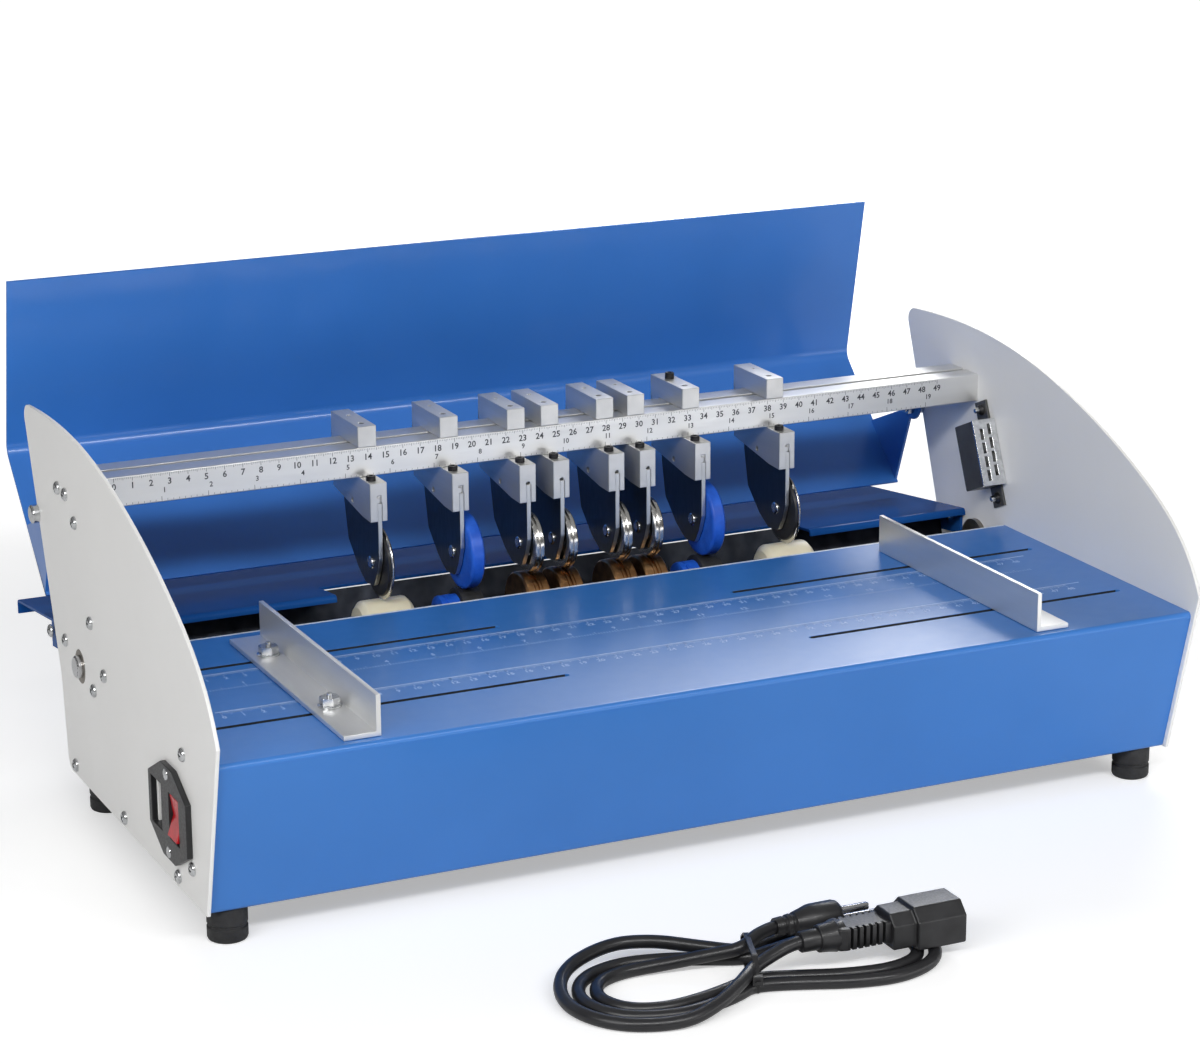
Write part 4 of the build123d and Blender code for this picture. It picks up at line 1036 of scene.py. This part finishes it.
# ---- Power lead ----
# A loose flexible lead, folded into a tied hank in front of the machine. A ribbed, moulded connector
# is at one end and a slim two-pin plug at the other; both lie on the small folds.
lead_diameter = 6.5
left_fold, right_fold = (-108.0, -298.0), (8.0, -302.0)
back_slots = [(-53, -292, 11.5), (-49, -287, 3.4), (-46, -280, 3.6)]
front_slots = [(-57.2, -308, 3.4), (-60, -315, 3.4), (-58.5, -312, 10.8)]
lead_start = [(-32, -283, 14.8), (-42, -285, 14.5)]
lead_end = [(-44, -308.6, 14.5), (-36, -308, 16.6), (-32, -308, 16.8)]
back_heights = [(8.0, 4.5, 3.4, 3.4, 3.4), (3.4, 3.4, 3.4, 3.4, 3.4), (6.5, 9.8, 10.2, 7.0, 3.8)]
front_heights = [(3.4, 3.4, 3.4, 3.4), (3.4, 3.4, 3.4, 3.4), (3.4, 3.4, 6.5, 10.3)]


def between(start, end, share, x, height):
    """A point at x, with its y a share of the way from start to end."""
    return (x, start[1] + share * (end[1] - start[1]), height)


def around(fold, radius, angle, height):
    """A point on the round of a fold, at an angle in degrees."""
    turn = math.radians(angle)
    return (fold[0] + radius * math.cos(turn), fold[1] + radius * math.sin(turn), height)


def lead_route():
    """The points that the lead follows, fold by fold, in millimetres."""
    route = list(lead_start)
    for turn in range(3):
        slot, back = back_slots[turn], back_heights[turn]
        wide = 23 + 9 * turn
        route.append(slot)
        far = around(left_fold, wide, 90, back[2])
        route += [between(slot, far, 0.42, -66, back[0]), between(slot, far, 0.82, -86, back[1]), far]
        front = front_heights[turn]
        rest = (back[3], back[4], front[0], front[1])
        for angle, height in zip((135, 180, 225, 270), rest):
            route.append(around(left_fold, wide, angle, height))
        near, slot = route[-1], front_slots[turn]
        route += [between(slot, near, 0.82, -88, front[2]), between(slot, near, 0.42, -70, front[3]), slot]
        if turn == 2:
            break
        small = 25 + 9 * turn
        first, last = around(right_fold, small, -90, 3.4), around(right_fold, small, 90, 3.4)
        route += [between(slot, first, 0.35, -38, 3.4), between(slot, first, 0.8, -16, 3.4), first]
        route += [around(right_fold, small, angle, 3.4) for angle in (-45, 0, 45)]
        after = back_slots[turn + 1]
        route += [last, between(after, last, 0.8, -16, 3.4), between(after, last, 0.35, -34, 3.4)]
    return route + lead_end


sheath = finish("cord_sheath", (0.012, 0.012, 0.014), (0.020, 0.020, 0.022), (0.28, 0.4),
                (20, 4, 1.2), 0.03)
line = bpy.data.curves.new("lead_cable", "CURVE")
line.dimensions = "3D"
line.bevel_depth, line.bevel_resolution, line.resolution_u = lead_diameter / 2 * mm, 6, 10
line.use_fill_caps = True
line.materials.append(sheath)
route = lead_route()
spline = line.splines.new("NURBS")
spline.points.add(len(route) - 1)
for point, place in zip(spline.points, route):
    point.co = (*(Vector(place) * mm), 1)
spline.order_u = 3
spline.use_endpoint_u = True
lead = bpy.data.objects.new("lead_cable", line)
bpy.context.collection.objects.link(lead)
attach(lead, "frame")
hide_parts("power_lead")


def connector():
    """A ribbed relief that widens to a head with sloping shoulders."""
    low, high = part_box("lead_connector")
    start, end, bottom, top = low.x / mm, high.x / mm, low.z / mm, high.z / mm
    y, z = (low.y + high.y) / 2 / mm, (bottom + top) / 2
    head_x, half = start + 44, 13.5
    sleeve = turned([(0, 3.6), (0, 4.6), (0.5, 5.0), (9, 5.2), (9, 6.0), (9.5, 6.5), (14, 6.9), (18, 7.6),
                     (19, 7.0), (22, 7.0)], Vector((start, y, z)) * mm)
    grip = rounded([(start + 17, y - 7), (start + 21, y - 8.2), (head_x + 6, y - 8.4),
                    (head_x + 6, y + 8.4), (start + 21, y + 8.2), (start + 17, y + 7)], 1.5)
    body = prism(grip, z - 5.4, z + 5.4, "Z")
    break_edges(body, 0.9)
    cuts = []
    for rib in range(6):
        x = start + 22.5 + 3.4 * rib
        for way in (-1, 1):
            near, far = sorted((y + way * 5.6, y + way * 10))
            cuts.append(block_between((x, near, z - 7), (x + 1.5, far, z + 7)))
    combined(body, cuts)
    shoulders = rounded([(y - half, bottom), (y + half, bottom), (y + half, top - 6), (y + half - 6, top),
                         (y - half + 6, top), (y - half, top - 6)], 1.2)
    head = prism(shoulders, head_x + 12, end)
    small = [(y + (side - y) * 0.82, z + (height - z) * 0.84) for side, height in shoulders]
    combined(head, [prism(small, head_x, head_x + 13)], "UNION")
    break_edges(head, 0.8)
    for dy, dz in ((-5, -2), (0, 3), (5, -2)):
        slit = block_between((end - 12, y + dy - 0.9, z + dz - 2.2), (end + 1, y + dy + 0.9, z + dz + 2.2))
        combined(head, [slit])
    return joined([sleeve, body, head])


moulded_connector = settled(
    connector(), "moulded_connector", plastic, "frame", "black_plastic", "lead_connector")

plug_low, plug_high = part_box("lead_plug")
plug_axis = Vector((plug_low.x, (plug_low.y + plug_high.y) / 2, (plug_low.z + plug_high.z) / 2))
plug_body = turned(
    [(0, 3.6), (0, 4.4), (4, 4.7), (4.6, 4.2), (5.6, 4.2), (6.2, 5.0), (8, 5.2), (8.6, 4.7), (9.6, 4.7),
     (10.2, 5.6), (14, 6.6), (18, 7.8), (20, 8.0), (31, 8.0), (33, 7.4), (34, 6.4)], plug_axis)
moulded_plug = settled(plug_body, "moulded_plug", plastic, "frame", "black_plastic", "lead_plug")
pin_aside = Vector((0, 4.5 * mm, 0))
plug_pins = [
    turned([(33.5, 2.0), (52, 2.0), (52.7, 1.6), (53, 0.9)], plug_axis + way * pin_aside, "X", 32)
    for way in (-1, 1)
]
round_pins = settled(joined(plug_pins), "plug_pins", ground_steel, "frame", "ground_steel")

tie_start, tie_end = Vector((-60.4, -320.0)), Vector((-44.6, -275.2))
tie_length = (tie_end - tie_start).length
tie_loop = rounded(
    [(0, 0.1), (tie_length, 0.1), (tie_length, 10), (tie_length - 9, 15.6), (9, 16.6), (0, 10)],
    [3.4, 3.4, 3, 7, 7, 3])
tie_hole = rounded(
    [(1.1, 1.2), (tie_length - 1.1, 1.2), (tie_length - 1.1, 9.6), (tie_length - 9.4, 14.5), (9.4, 15.5),
     (1.1, 9.6)], [2.3, 2.3, 2, 6, 6, 2])
band = combined(prism(tie_loop, -1.3, 1.3), [prism(tie_hole, -3, 3)])
catch = block_between((-2.4, -2.6, 6.2), (2.4, 0.6, 10.6))
tail = block_between((-1.3, -4.6, 7.6), (1.3, -2.4, 8.8))
lead_tie = joined([band, catch, tail])
along = math.atan2(tie_end.y - tie_start.y, tie_end.x - tie_start.x) - math.radians(90)
lead_tie.data.transform(Matrix.Translation((tie_start * mm).to_3d()) @ Matrix.Rotation(along, 4, "Z"))
break_edges(lead_tie, 0.15)
settled(lead_tie, "lead_tie", plastic, "frame", "black_plastic")

low, high = cad_box
